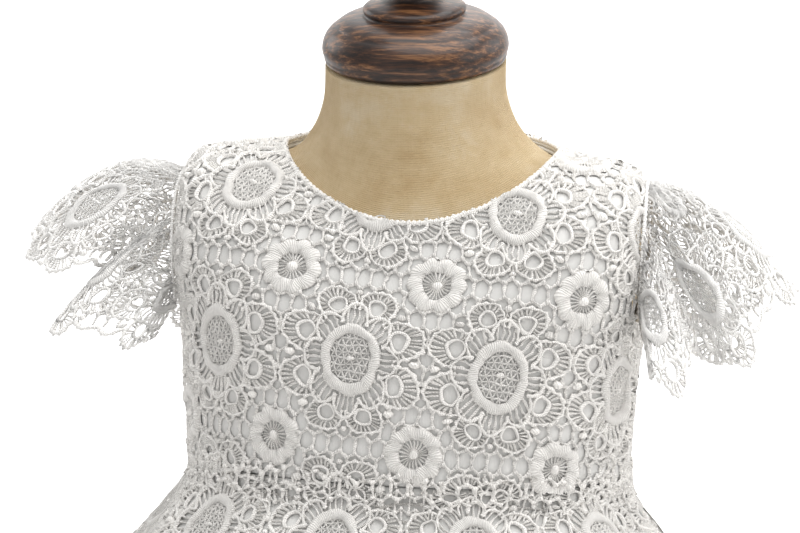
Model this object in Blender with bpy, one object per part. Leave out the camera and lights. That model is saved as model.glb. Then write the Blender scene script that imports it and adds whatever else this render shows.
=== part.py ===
"""Christening gown of guipure lace over a plain lining, on a limbless child's dress form.

Metres, +Z up. The front faces -Y and the wearer's left side is at +X. The origin is the middle of
the stand's underside.

The form is a family of rings, one for each row of FORM_ROWS, smoothed between the rows. A place on
it is an angle round the body and a row number. The bodice panels are cut from that surface, moved
out. Each is laid flat first, the way a pattern is, so that the lace's repeat lies on it unstretched.
The skirt is two thirds of a circle, and its waves take up the cloth that the bell doesn't need.
"""

import math

import bmesh
import bpy
import numpy as np
from mathutils import Matrix, Vector
from mathutils.geometry import delaunay_2d_cdt

# ---- driving sizes -------------------------------------------------------------------------

SHOULDER_Z = 0.560          # where the neckline crosses the top of the shoulder
SEAM_GAP = 0.0004           # between two pieces that are sewn together
SEAM_HALF_ANGLE = math.radians(0.15)    # half of a side seam's gap, as an angle round the body

# Walls, as distances out from the form's surface.
FORM_EASE = 0.0013          # how far inside its rows' rings the form itself stays
LINING_IN, LINING_OUT = 0.0005, 0.0015
LACE_IN, LACE_OUT = 0.0024, 0.0036
PLACKET_IN, PLACKET_OUT = 0.0041, 0.0051

# Rings of the form, in millimetres. Heights are from SHOULDER_Z, at the side, front and back.
FORM_ROWS = (
    # name, side z, front z, back z, half width, front depth, back depth, shift to +X, lower at +X,
    # corner fullness, dip power
    ("neck_top", 33, 24, 42, 35.5, 35.5, 35.5, 0.0, 0.0, 0.00, 1.0),
    ("neck", 20, 11, 29, 36.0, 36.0, 36.0, 0.0, 0.0, 0.00, 1.0),
    ("neck_root", 8, -7, 16, 41.0, 38.0, 37.0, 1.0, 0.4, 0.00, 1.6),
    ("neckline", -1, -25.5, 6, 51.2, 43.0, 39.0, 3.0, 1.2, 0.01, 1.7),
    ("shoulder", -3, -37, -8, 69.0, 48.0, 46.0, 1.5, 1.7, 0.02, 2.0),
    ("shoulder_tip", -9, -49, -24, 84.5, 53.5, 52.0, 0.5, 2.0, 0.06, 2.0),
    ("upper_arm", -35, -60, -46, 87.5, 58.5, 57.0, 0.0, 2.0, 0.09, 2.0),
    ("chest", -71, -71, -71, 84.0, 61.5, 60.0, 0.0, 2.0, 0.07, 2.0),
    ("ribs", -95, -95, -95, 81.8, 63.0, 58.0, 0.0, 2.0, 0.05, 2.0),
    ("waist", -119, -119, -119, 81.0, 64.0, 57.0, 0.0, 2.0, 0.04, 2.0),
    ("belly", -150, -150, -150, 82.0, 66.0, 58.0, 0.0, 1.5, 0.04, 2.0),
    ("hip", -190, -190, -190, 84.5, 65.0, 63.0, 0.0, 0.7, 0.04, 2.0),
    ("seat", -222, -222, -222, 80.0, 60.0, 61.0, 0.0, 0.0, 0.03, 2.0),
    ("under", -243, -243, -243, 64.0, 48.0, 50.0, 0.0, 0.0, 0.02, 2.0),
    ("bottom", -252, -252, -252, 34.0, 28.0, 28.0, 0.0, 0.0, 0.00, 2.0),
)
ROW = {row[0]: index for index, row in enumerate(FORM_ROWS)}
FORM_TABLE = np.array([row[1:] for row in FORM_ROWS], float)
FORM_TABLE[:, :8] *= 0.001

# Armhole, as an oval in angle and rows, round the side of the body.
ARMHOLE_TOP = ROW["shoulder_tip"]
ARMHOLE_BOTTOM = ROW["chest"]
ARMHOLE_HALF_ANGLE = math.radians(22)

# Skirt: a flat ring sector. The profile gives its lean from upright, by way down the cloth.
SKIRT_LENGTH = 0.340
SKIRT_CIRCLE = 2 / 3        # how much of a circle the whole skirt is cut from
SKIRT_LEAN = (
    # metres down the cloth, degrees
    (0.000, 0),
    (0.010, 30),
    (0.028, 41),
    (0.060, 38),
    (0.120, 30),
    (0.200, 19),
    (0.340, 8),
)
SKIRT_WAVES = 10
WAVES_START = 0.060         # the waves are at their full depth from here down
SKIRT_NET = (
    # metres down the cloth, stretches between points along half the skirt
    (0.012, 14),
    (0.026, 14),
    (0.050, 16),
    (0.100, 24),
    (0.160, 32),
    (0.240, 38),
    (0.326, 43),            # the lining's hem; the lace goes on
)
SKIRT_ROWS = 6              # of medallions, the last along the hem
FIRST_ROW_TURN = -0.33      # of the first row, in repeats, to go on from the bodice's lace
MEDALLION_REACH = 0.0235    # from a row's middles to the waist above the first, or the last scallops
SCALLOPS = 17               # along the hem of each half
SCALLOP_DEPTH = 0.007
SCALLOP_POINTS = 3

# Lace repeat of the bodice: a medallion at each lattice point, a daisy in the middle of each cell.
# The skirt's medallions stand in level rows, as many in each as fit round it.
REPEAT_WIDTH = 0.054
REPEAT_HEIGHT = 0.063
LACE_TILT = math.radians(-3.5)
LACE_ORIGIN = (-0.014, 0.045)   # a medallion, from the middle of the front waist
EYELET_RING = 0.020             # middle of the eyelets, from the medallion's middle
EYELETS = 8
EYELET_ORDER = (2, 6, 4, 0, 3, 7, 5, 1)     # in which a medallion's eyelets are cut
EYELET_RADIUS = 0.0029
HOLE_SIDES = 5
SKIRT_HOLE_SIDES = 4
HOLE_MARGIN = 0.0016            # of cloth left between a hole and a panel's edge
CDT_MERGE = 2e-5                # flat points closer than this are one

# Form and stand
TORSO_SEGMENTS, CAP_SEGMENTS, BASE_SEGMENTS, POLE_SEGMENTS = 26, 20, 28, 14
BASE_RADIUS = 0.125
POLE_RADIUS = 0.0125
COLLAR_LENGTH = 0.020           # of the pole's wider ends
COLLAR_WALL = 0.008
TOUCH_GAP = 0.0003              # between hard pieces that rest on each other
CAP_TILT = math.radians(15)     # the neck's top leans to the front

COLOURS = {
    # name: (red, green, blue, roughness, metallic)
    "lace": (0.86, 0.85, 0.83, 0.85, 0.0),
    "lining": (0.78, 0.78, 0.78, 0.80, 0.0),
    "linen": (0.67, 0.55, 0.36, 0.90, 0.0),
    "wood": (0.055, 0.018, 0.010, 0.25, 0.0),
    "button": (0.85, 0.84, 0.80, 0.25, 0.0),
}


# ---- small tools ---------------------------------------------------------------------------

def clear_scene():
    for thing in list(bpy.data.objects):
        bpy.data.objects.remove(thing, do_unlink=True)


def material(name):
    found = bpy.data.materials.get(name)
    if found:
        return found
    made = bpy.data.materials.new(name)
    made.use_nodes = True
    red, green, blue, roughness, metallic = COLOURS[name]
    shader = made.node_tree.nodes["Principled BSDF"]
    shader.inputs["Base Color"].default_value = (red, green, blue, 1)
    shader.inputs["Roughness"].default_value = roughness
    shader.inputs["Metallic"].default_value = metallic
    return made


def add_object(name, verts, faces, finish):
    mesh = bpy.data.meshes.new(name)
    mesh.from_pydata([tuple(v) for v in verts], [], [tuple(int(i) for i in f) for f in faces])
    mesh.validate()
    made = bpy.data.objects.new(name, mesh)
    bpy.context.scene.collection.objects.link(made)
    made.data.materials.append(material(finish))
    mesh.shade_smooth()
    mesh.set_sharp_from_angle(angle=math.radians(40))
    return made


def smooth_rows(table, place):
    """Values of a table's columns at places counted in rows, smooth from row to row."""
    last = len(table) - 1
    low = np.clip(np.floor(place).astype(int), 0, last - 1)
    u = (place - low)[..., None]
    before, here = table[np.maximum(low - 1, 0)], table[low]
    after, beyond = table[low + 1], table[np.minimum(low + 2, last)]
    slope_here, slope_after = (after - before) / 2, (beyond - here) / 2
    return (
        (2 * u**3 - 3 * u**2 + 1) * here
        + (u**3 - 2 * u**2 + u) * slope_here
        + (3 * u**2 - 2 * u**3) * after
        + (u**3 - u**2) * slope_after
    )


def unit(vectors):
    return vectors / np.linalg.norm(vectors, axis=-1, keepdims=True)


def moved_out(surface, u, v, distance, step=1e-3):
    """Points of surface(u, v), moved along its normal. surface turns left in u and runs down in v."""
    across = surface(u + step, v) - surface(u - step, v)
    down = surface(u, v + step) - surface(u, v - step)
    return surface(u, v) + unit(np.cross(down, across)) * distance


# ---- the form's surface --------------------------------------------------------------------

def form_point(angle, row):
    """Point of the form. Angle 0 is +X and 270 degrees is the front."""
    columns = np.moveaxis(smooth_rows(FORM_TABLE, row), -1, 0)
    z_side, z_front, z_back, half_width, front, back, shift, askew, corner, dip_power = columns
    cosine, sine = np.cos(angle), np.sin(angle)
    z_end = np.where(sine < 0, z_front, z_back)
    depth = np.where(sine < 0, front, back)
    swell = 1 + corner * np.sin(2 * angle) ** 2
    z = SHOULDER_Z + z_side + (z_end - z_side) * np.abs(sine) ** dip_power - askew * cosine
    return np.stack([shift + half_width * cosine * swell, depth * sine * swell, z], -1)


def armhole_reach(row):
    """How far the armhole reaches round from the side seam at this row, as an angle."""
    middle = (ARMHOLE_TOP + ARMHOLE_BOTTOM) / 2
    half = (ARMHOLE_BOTTOM - ARMHOLE_TOP) / 2
    return ARMHOLE_HALF_ANGLE * np.sqrt(np.clip(1 - ((row - middle) / half) ** 2, 0, 1))


# ---- the skirt's surface -------------------------------------------------------------------

LEAN_WAY, LEAN_ANGLE = np.array(SKIRT_LEAN).T
FINE_WAY = np.linspace(0, SKIRT_LENGTH + 0.02, 181)
FINE_LEAN = np.radians(np.interp(FINE_WAY, LEAN_WAY, LEAN_ANGLE))
FINE_STEP = FINE_WAY[1] - FINE_WAY[0]
FINE_OUT = np.concatenate([[0], np.cumsum(np.sin(FINE_LEAN[:-1]) * FINE_STEP)])
FINE_DOWN = np.concatenate([[0], np.cumsum(np.cos(FINE_LEAN[:-1]) * FINE_STEP)])

WAIST_ROW = float(ROW["waist"])
ROUND = np.linspace(0, 2 * math.pi, 721)
WAIST_RING = form_point(ROUND, np.full_like(ROUND, WAIST_ROW))
WAIST_LENGTH = float(np.linalg.norm(np.diff(WAIST_RING, axis=0), axis=1).sum()) + 2 * math.pi * LACE_OUT
WAIST_FLAT_RADIUS = WAIST_LENGTH / (2 * math.pi * SKIRT_CIRCLE)
SKIRT_HALF_SECTOR = math.pi * SKIRT_CIRCLE / 2      # from the middle of a half to its side seam


def wave_shape(angle):
    """The skirt's waves round the body, from -1 to 1, uneven in spacing and depth."""
    phase = SKIRT_WAVES * angle + 0.6 * np.sin(2 * angle + 0.7) + 0.35 * np.sin(3 * angle + 2.1)
    return np.cos(phase) * (0.88 + 0.16 * np.sin(3 * angle + 1.0)) + 0.12 * np.sin(5 * angle)


def wave_depth(way):
    """How deep the waves are: enough to take up the flat cut's spare cloth at this way down."""
    mean_radius = WAIST_LENGTH / (2 * math.pi) + np.interp(way, FINE_WAY, FINE_OUT)
    flat_length = 2 * math.pi * SKIRT_CIRCLE * (WAIST_FLAT_RADIUS + way)
    spare = np.clip(flat_length / (2 * math.pi * mean_radius) - 1, 0.0, None)
    return 2 * np.sqrt(spare) * mean_radius / SKIRT_WAVES * np.clip(way / WAVES_START, 0, 1)


def skirt_point(angle, way):
    """Point of the skirt, by the angle round the body and the way down the cloth."""
    ring = form_point(angle, np.full_like(angle, WAIST_ROW))
    step = 1e-3
    along = form_point(angle + step, np.full_like(angle, WAIST_ROW)) - ring
    outward = unit(np.stack([along[..., 1], -along[..., 0], np.zeros_like(angle)], -1))
    reach = np.interp(way, FINE_WAY, FINE_OUT) + wave_depth(way) * wave_shape(angle)
    fall = np.interp(way, FINE_WAY, FINE_DOWN) + SEAM_GAP
    down = np.stack([np.zeros_like(fall), np.zeros_like(fall), -fall], -1)
    return ring + outward * reach[..., None] + down


class SkirtHalf:
    """Flat places on one half of the skirt, and where they lie round the body."""

    def __init__(self, start_angle):
        self.start = start_angle + SEAM_HALF_ANGLE
        self.end = start_angle + math.pi - SEAM_HALF_ANGLE
        self.ways = np.linspace(0, SKIRT_LENGTH + 0.01, 36)
        self.angles = np.linspace(self.start, self.end, 361)
        grid = skirt_point(self.angles[None, :] + 0 * self.ways[:, None], self.ways[:, None] + 0 * self.angles)
        steps = np.linalg.norm(np.diff(grid, axis=1), axis=2)
        lengths = np.concatenate([np.zeros((len(self.ways), 1)), np.cumsum(steps, axis=1)], axis=1)
        self.shares = lengths / lengths[:, -1:]

    def angle_at(self, share, way):
        """Angle round the body of a place this share of the way along the cloth."""
        level = np.clip(way / self.ways[1], 0, len(self.ways) - 1.001)
        low = level.astype(int)
        lower = np.empty_like(share)
        upper = np.empty_like(share)
        for row in np.unique(low):
            here = low == row
            lower[here] = np.interp(share[here], self.shares[row], self.angles)
            upper[here] = np.interp(share[here], self.shares[row + 1], self.angles)
        return lower + (upper - lower) * (level - low)

    def place(self, flat, distance):
        """Flat places, from the middle of the waist with y up, to points moved out from the cloth."""
        down = WAIST_FLAT_RADIUS - flat[:, 1]
        radius = np.hypot(flat[:, 0], down)
        turn = np.arctan2(flat[:, 0], down)
        way = radius - WAIST_FLAT_RADIUS
        angle = self.angle_at(np.clip(0.5 + 0.5 * turn / SKIRT_HALF_SECTOR, 0, 1), way)
        return moved_out(skirt_point, angle, way, distance)

    @staticmethod
    def ring(way, turn_share):
        """Flat places on a ring this way down, from one side seam at -1 to the other at 1."""
        turn = np.asarray(turn_share) * SKIRT_HALF_SECTOR
        radius = WAIST_FLAT_RADIUS + way
        return np.stack([radius * np.sin(turn), WAIST_FLAT_RADIUS - radius * np.cos(turn)], -1)

    def edge(self, ways, hem):
        """Flat outline: along the waist, down one seam, along the hem and up the other."""
        waist = self.ring(np.zeros(SKIRT_NET[0][1] + 1), np.linspace(-1, 1, SKIRT_NET[0][1] + 1))
        right = self.ring(np.array(ways), np.ones(len(ways)))
        left = self.ring(np.array(ways[::-1]), -np.ones(len(ways)))
        return np.concatenate([waist, right, hem, left])

    def lining_edge(self):
        ways = [way for way, _ in SKIRT_NET]
        count = SKIRT_NET[-1][1]
        return self.edge(ways[:-1], self.ring(np.full(count + 1, ways[-1]), np.linspace(1, -1, count + 1)))

    def lace_edge(self):
        share = np.linspace(1, 0, SCALLOPS * SCALLOP_POINTS + 1)
        rise = SCALLOP_DEPTH * (1 - np.abs(np.sin(share * SCALLOPS * math.pi)))
        hem = self.ring(SKIRT_LENGTH - rise, share * 2 - 1)
        return self.edge([way for way, _ in SKIRT_NET], hem)

    def inner_points(self):
        """Points between the edges, closer together where the waves are deeper."""
        rows = [self.ring(np.full(count - 1, way), np.linspace(-1, 1, count + 1)[1:-1]) for way, count in SKIRT_NET]
        return np.concatenate(rows)


# ---- the bodice's panels, laid flat --------------------------------------------------------

def flat_pattern(points, faces, rounds=25):
    """Lays a curved sheet of triangles flat with the least stretch, as-rigid-as-possible."""
    corners = points[faces]
    first = corners[:, 1] - corners[:, 0]
    third = corners[:, 2] - corners[:, 0]
    along = unit(first)
    local = np.zeros((len(faces), 3, 2))
    local[:, 1, 0] = np.linalg.norm(first, axis=1)
    local[:, 2, 0] = (third * along).sum(1)
    local[:, 2, 1] = np.linalg.norm(np.cross(along, third), axis=1)

    size = len(points)
    stiffness = np.zeros((size, size))
    pulls = []
    for i in range(3):
        j, k = (i + 1) % 3, (i + 2) % 3
        to_i, to_j = local[:, i] - local[:, k], local[:, j] - local[:, k]
        turn = np.abs(to_i[:, 0] * to_j[:, 1] - to_i[:, 1] * to_j[:, 0])
        weight = np.clip((to_i * to_j).sum(1) / turn, 0.05, None)
        a, b = faces[:, i], faces[:, j]
        np.add.at(stiffness, (a, a), weight)
        np.add.at(stiffness, (b, b), weight)
        np.add.at(stiffness, (a, b), -weight)
        np.add.at(stiffness, (b, a), -weight)
        pulls.append((a, b, weight, local[:, i] - local[:, j]))
    stiffness[0, 0] += 1.0      # holds one point, so that the answer is the only one

    flat = start_layout(points)
    for _ in range(rounds):
        spread = sum(
            weight[:, None, None] * (flat[a] - flat[b])[:, :, None] * offset[:, None, :]
            for a, b, weight, offset in pulls
        )
        angle = np.arctan2(spread[:, 1, 0] - spread[:, 0, 1], spread[:, 0, 0] + spread[:, 1, 1])
        cosine, sine = np.cos(angle), np.sin(angle)
        wanted = np.zeros((size, 2))
        wanted[0] += flat[0]
        for a, b, weight, offset in pulls:
            turned = np.stack(
                [cosine * offset[:, 0] - sine * offset[:, 1], sine * offset[:, 0] + cosine * offset[:, 1]], -1
            )
            np.add.at(wanted, a, weight[:, None] * turned)
            np.add.at(wanted, b, -weight[:, None] * turned)
        flat = np.linalg.solve(stiffness, wanted)
    return flat


def start_layout(points):
    """First guess for a flat pattern: seen from outside, across the panel and up."""
    middle = points.mean(0)
    facing = -1.0 if middle[1] < 0 else 1.0
    across = np.array([-facing, 0.0, 0.0])
    if abs(middle[0]) > 0.02:
        across = np.array([-facing * 0.8, math.copysign(0.6, middle[0]), 0.0])
    return np.stack([points @ across, points[:, 2]], -1)


class BodicePanel:
    """A bodice panel: a net of places between two angles, from neckline to waist, and its flat cut."""

    ROWS = (3.0, 3.4, 3.9, 4.45, 5.0, 5.13, 5.55, 6.1, 6.65, 7.0, 7.6, 8.3, WAIST_ROW)

    def __init__(self, start, end, columns, start_is_side, end_is_side, straight_edge):
        rows = np.array(self.ROWS)
        reach = armhole_reach(rows)
        low = start + SEAM_HALF_ANGLE + (reach if start_is_side else 0 * reach)
        high = end - SEAM_HALF_ANGLE - (reach if end_is_side else 0 * reach)
        share = np.linspace(0, 1, columns + 1)
        self.angle = (low[:, None] + (high - low)[:, None] * share).ravel()
        self.row = np.repeat(rows, columns + 1)
        self.shape = (len(rows), columns + 1)
        index = np.arange(len(rows) * (columns + 1)).reshape(self.shape)
        a, b = index[:-1, :-1].ravel(), index[:-1, 1:].ravel()
        c, d = index[1:, 1:].ravel(), index[1:, :-1].ravel()
        self.faces = np.concatenate([np.stack([a, d, c], -1), np.stack([a, c, b], -1)])
        points = moved_out(form_point, self.angle, self.row, LACE_IN)
        self.index = index
        self.flat = self.upright(flat_pattern(points, self.faces), index[:, straight_edge])

    @staticmethod
    def upright(flat, column):
        """Turns the flat cut so that this column stands upright, with its foot at the middle."""
        foot, head = flat[column[-1]], flat[column[0]]
        lean = math.atan2(*(head - foot))
        turn = np.array([[math.cos(lean), -math.sin(lean)], [math.sin(lean), math.cos(lean)]])
        return (flat - foot) @ turn.T

    def lining_edge(self):
        index = self.index
        loop = np.concatenate([index[-1, :], index[-2::-1, -1], index[0, -2::-1], index[1:-1, 0]])
        return self.flat[loop]

    lace_edge = lining_edge

    def inner_points(self):
        return self.flat[self.index[1:-1, 2:-1:2].ravel()]

    def place(self, flat, distance):
        corners, share = shares_of(flat, self.flat, self.faces)
        angle, row = (self.angle[corners] * share).sum(1), (self.row[corners] * share).sum(1)
        return moved_out(form_point, angle, row, distance)


# ---- panels with holes ---------------------------------------------------------------------

def inside_loop(points, loop):
    """Which points lie inside a closed loop of flat places."""
    x, y = points[:, 0, None], points[:, 1, None]
    ax, ay = loop[:, 0], loop[:, 1]
    bx, by = np.roll(loop, -1, 0).T
    crosses = (ay > y) != (by > y)
    rise = np.where(by == ay, 1.0, by - ay)
    return ((crosses & (x < ax + (y - ay) * (bx - ax) / rise)).sum(1) % 2).astype(bool)


def loop_distance(points, loop):
    """Each point's distance from a closed loop."""
    start, run = loop, np.roll(loop, -1, 0) - loop
    share = ((points[:, None] - start) * run).sum(-1) / (run**2).sum(-1)
    nearest = start + np.clip(share, 0, 1)[..., None] * run
    return np.linalg.norm(points[:, None] - nearest, axis=-1).min(1)


def hole_loop(centre, sides, turn):
    angles = turn + np.arange(sides) * 2 * math.pi / sides
    return centre + EYELET_RADIUS * np.stack([np.cos(angles), np.sin(angles)], -1)


def bodice_medallions(edge):
    """Middles and turns of the medallions that can reach inside this edge."""
    low, high = edge.min(0), edge.max(0)
    across = np.array([math.cos(LACE_TILT), math.sin(LACE_TILT)]) * REPEAT_WIDTH
    up = np.array([-math.sin(LACE_TILT), math.cos(LACE_TILT)]) * REPEAT_HEIGHT
    reach = range(-4, 5)
    places = [np.array(LACE_ORIGIN) + i * across + j * up for i in reach for j in reach]
    return [(p, LACE_TILT) for p in places if (p > low - REPEAT_WIDTH).all() and (p < high + REPEAT_WIDTH).all()]


def skirt_medallions(cut):
    """Middles and turns of one half's medallions, row by row from the waist to the hem."""
    found = []
    for row in range(SKIRT_ROWS):
        way = MEDALLION_REACH + (SKIRT_LENGTH - 2 * MEDALLION_REACH) * row / (SKIRT_ROWS - 1)
        count = round(2 * SKIRT_HALF_SECTOR * (WAIST_FLAT_RADIUS + way) / REPEAT_WIDTH)
        start = 0.5 + (FIRST_ROW_TURN if row == 0 else 0.0)
        shares = [2 * (start + n) / count - 1 for n in range(-1, count + 1)]
        found += [(cut.ring(way, share), share * SKIRT_HALF_SECTOR) for share in shares]
    return found


def eyelet_holes(edge, medallions, each, sides):
    """Eyelet loops of every medallion on a panel: up to each of them, spread round the ring."""
    loops = []
    for centre, lean in medallions:
        turns = lean + (np.arange(EYELETS) + 0.5) * 2 * math.pi / EYELETS
        ring = centre + EYELET_RING * np.stack([np.cos(turns), np.sin(turns)], -1)
        fits = inside_loop(ring, edge) & (loop_distance(ring, edge) > EYELET_RADIUS + HOLE_MARGIN)
        order = [n for n in EYELET_ORDER if fits[n]][:each]
        loops += [hole_loop(ring[n], sides, turns[n]) for n in order]
    return loops


def loop_lines(loop):
    return np.stack([loop, np.roll(loop, -1, 0)], 1)


def triangles_between(edge, inner, lines=(), holes=()):
    """Flat points and triangles of a panel with an edge and holes, keeping these points and lines."""
    ends = np.concatenate([loop_lines(edge), *map(loop_lines, holes), *lines])
    coords = [Vector(p) for p in ends.reshape(-1, 2)] + [Vector(p) for p in inner]
    edges = [(2 * n, 2 * n + 1) for n in range(len(ends))]
    verts, _, faces, _, _, _ = delaunay_2d_cdt(coords, edges, [], 1, CDT_MERGE, False)
    flat, faces = np.array([tuple(v) for v in verts]), np.array(faces)
    corner = flat[faces]
    side_1, side_2 = corner[:, 1] - corner[:, 0], corner[:, 2] - corner[:, 0]
    clockwise = side_1[:, 0] * side_2[:, 1] < side_1[:, 1] * side_2[:, 0]
    faces[clockwise] = faces[clockwise][:, ::-1]
    centres = corner.mean(1)
    kept = inside_loop(centres, edge)
    for hole in holes:
        kept &= ~inside_loop(centres, hole)
    faces = faces[kept]
    used = np.unique(faces)
    renumber = np.full(len(flat), -1)
    renumber[used] = np.arange(len(used))
    return flat[used], renumber[faces]


def shares_of(points, flat, faces):
    """For each flat point, the triangle that holds it and its corners' shares."""
    corner = flat[faces]
    side_1, side_2 = corner[:, 1] - corner[:, 0], corner[:, 2] - corner[:, 0]
    turn = side_1[:, 0] * side_2[:, 1] - side_1[:, 1] * side_2[:, 0]
    away = points[:, None, :] - corner[None, :, 0, :]
    second = (away[..., 0] * side_2[:, 1] - away[..., 1] * side_2[:, 0]) / turn
    third = (side_1[:, 0] * away[..., 1] - side_1[:, 1] * away[..., 0]) / turn
    best = np.minimum(np.minimum(second, third), 1 - second - third).argmax(1)
    pick = np.arange(len(points))
    second, third = second[pick, best], third[pick, best]
    share = np.clip(np.stack([1 - second - third, second, third], -1), 0, 1)
    return faces[best], share / share.sum(1, keepdims=True)


class Net:
    """A panel's coarse triangles. Each layer of the panel is these, moved out by its own distance."""

    def __init__(self, cut, edge, under=None):
        self.cut = cut
        self.edge = edge
        lines = [under.lines()] if under else []
        self.flat, self.faces = triangles_between(edge, cut.inner_points(), lines)

    def lines(self):
        ends = np.sort(np.concatenate([self.faces[:, [0, 1]], self.faces[:, [1, 2]], self.faces[:, [2, 0]]]), axis=1)
        return self.flat[np.unique(ends, axis=0)]

    def solid(self, name, near, far, finish, holes=(), keep_lines=True):
        """A wall of cloth between two distances, cut through at the holes."""
        flat, faces = self.flat, self.faces
        inner, outer = self.cut.place(flat, near), self.cut.place(flat, far)
        if len(holes):
            lines = [self.lines()] if keep_lines else []
            flat, faces = triangles_between(self.edge, self.flat, lines, holes)
            corners, share = shares_of(flat, self.flat, self.faces)
            inner = (inner[corners] * share[..., None]).sum(1)
            outer = (outer[corners] * share[..., None]).sum(1)
        count = len(flat)
        directed = {(int(f[i]), int(f[(i + 1) % 3])) for f in faces for i in range(3)}
        walls = []
        for a, b in sorted(directed):
            if (b, a) not in directed:
                walls += [(b, a, a + count), (b, a + count, b + count)]
        solid = [tuple(f) for f in faces] + [tuple(f[::-1] + count) for f in faces] + walls
        return add_object(name, np.concatenate([outer, inner]), solid, finish)


# ---- sleeves -------------------------------------------------------------------------------

SLEEVE_REACH = math.radians(128)    # how far each way from the shoulder the sleeve is sewn on
SLEEVE_COLUMNS = 24
SLEEVE_ROWS = 4
SLEEVE_MEDALLIONS = 5
SLEEVE_EDGE_POINTS = 6      # for each medallion
SLEEVE_SCALLOP_DEPTH = 0.0045
SLEEVE_WALL = 0.0013
SLEEVE_LIFT = 0.0008        # of its sewn edge, out from the middle of the bodice's lace
SEAM_SHARE_ROUND, SEAM_SHARE_DOWN = 0.93, 0.955     # of the armhole's oval, clear of the cut edge

# Free edge of each sleeve, from the front underarm over the shoulder to the back, in millimetres.
# x is out from the body's middle, z from SHOULDER_Z. Lift bows the cloth up between seam and edge.
SLEEVE_EDGES = {
    "right": (
        # share of the seam, x, y, z, lift
        (0.00, 92, -29, -70, 0),
        (0.09, 105, -45, -72, 4),
        (0.18, 129, -38, -67, 6),
        (0.27, 117, -22, -50, 3),
        (0.36, 125, -36, -46, 7),
        (0.46, 148, -12, -39, 13),
        (0.56, 147, 14, -38, 13),
        (0.66, 126, 31, -49, 6),
        (0.75, 121, 22, -57, 3),
        (0.86, 128, 38, -67, 6),
        (1.00, 92, 28, -72, 0),
    ),
    "left": (
        (0.00, 92, -30, -73, 0),
        (0.09, 96, -51, -76, 4),
        (0.18, 107, -45, -81, 6),
        (0.27, 112, -23, -72, 4),
        (0.36, 128, -33, -71, 6),
        (0.46, 142, -14, -50, 8),
        (0.56, 141, 12, -48, 8),
        (0.66, 124, 31, -58, 5),
        (0.75, 119, 18, -67, 3),
        (0.86, 123, 40, -77, 6),
        (1.00, 92, 28, -75, 0),
    ),
}
SLEEVE_SHIFTS = {"right": 0.4, "left": 0.0}     # of the medallions along the edge, in repeats


class Sleeve:
    """A flutter sleeve: a strip sewn to the armhole's upper part, with a longer, waved free edge."""

    def __init__(self, table, side, shift):
        self.table = np.array(table, float)
        self.table[:, 1:] *= 0.001
        self.side = side
        self.shift = shift      # of the medallions along the free edge, in repeats
        shares = np.linspace(0, 1, 241)[::side]     # seen from outside, flat places run to the right
        edge = self.surface(shares, np.ones_like(shares))
        steps = np.linalg.norm(np.diff(edge, axis=0), axis=1)
        self.length_at = np.concatenate([[0], np.cumsum(steps)])
        self.shares = shares
        self.length = float(self.length_at[-1])
        across = np.linspace(0, 1, 13)
        grid = self.surface(shares[:, None] + 0 * across, across + 0 * shares[:, None])
        self.width_at = np.linalg.norm(np.diff(grid, axis=1), axis=2).sum(1)

    def seam(self, share):
        """The sewn edge, on the armhole, just clear of the bodice's cut edge."""
        turn = (share * 2 - 1) * SLEEVE_REACH
        middle = (ARMHOLE_TOP + ARMHOLE_BOTTOM) / 2
        half = (ARMHOLE_BOTTOM - ARMHOLE_TOP) / 2
        row = middle - half * SEAM_SHARE_DOWN * np.cos(turn)
        angle = ARMHOLE_HALF_ANGLE * SEAM_SHARE_ROUND * np.sin(turn)
        point = moved_out(form_point, angle, row, (LACE_IN + LACE_OUT) / 2 + SLEEVE_LIFT)
        return point * np.array([self.side, 1.0, 1.0])

    def surface(self, share, across):
        """Point of the sleeve: share runs along the seam and across from seam to free edge."""
        place = np.interp(share, self.table[:, 0], np.arange(len(self.table)))
        x, y, z, lift = np.moveaxis(smooth_rows(self.table[:, 1:], place), -1, 0)
        edge = np.stack([self.side * x, y, SHOULDER_Z + z], -1)
        seam = self.seam(share)
        bow = np.stack([0 * x, 0 * x, lift * 4], -1)
        w = across[..., None]
        return seam * (1 - w) + edge * w + bow * w * (1 - w)

    def width(self, along):
        return np.interp(along, self.length_at, self.width_at)

    def lace_edge(self):
        """Flat outline, with y from the free edge up: the scalloped edge, then back along the seam."""
        share = np.linspace(0, 1, SLEEVE_MEDALLIONS * SLEEVE_EDGE_POINTS + 1)
        rise = SLEEVE_SCALLOP_DEPTH * (1 - np.abs(np.sin((share * SLEEVE_MEDALLIONS - self.shift) * math.pi)))
        free = np.stack([share * self.length, rise], -1)
        along = np.linspace(1, 0, SLEEVE_COLUMNS + 1) * self.length
        return np.concatenate([free, np.stack([along, self.width(along)], -1)])

    def inner_points(self):
        along = np.linspace(0, 1, SLEEVE_COLUMNS + 1)[1:-1] * self.length
        shares = np.arange(1, SLEEVE_ROWS) / SLEEVE_ROWS
        return np.concatenate([np.stack([along, self.width(along) * share], -1) for share in shares])

    def place(self, flat, distance):
        along = np.clip(flat[:, 0], 0, self.length)
        across = 1 - flat[:, 1] / self.width(along)
        share = np.interp(along, self.length_at, self.shares)
        return moved_out(self.surface, share, across, distance * self.side)

    def medallions(self):
        pitch = self.length / SLEEVE_MEDALLIONS
        places = [(n + 0.5 + self.shift) * pitch for n in range(-1, SLEEVE_MEDALLIONS)]
        return [(np.array([along, MEDALLION_REACH]), 0.0) for along in places]


# ---- hard pieces ---------------------------------------------------------------------------

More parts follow.
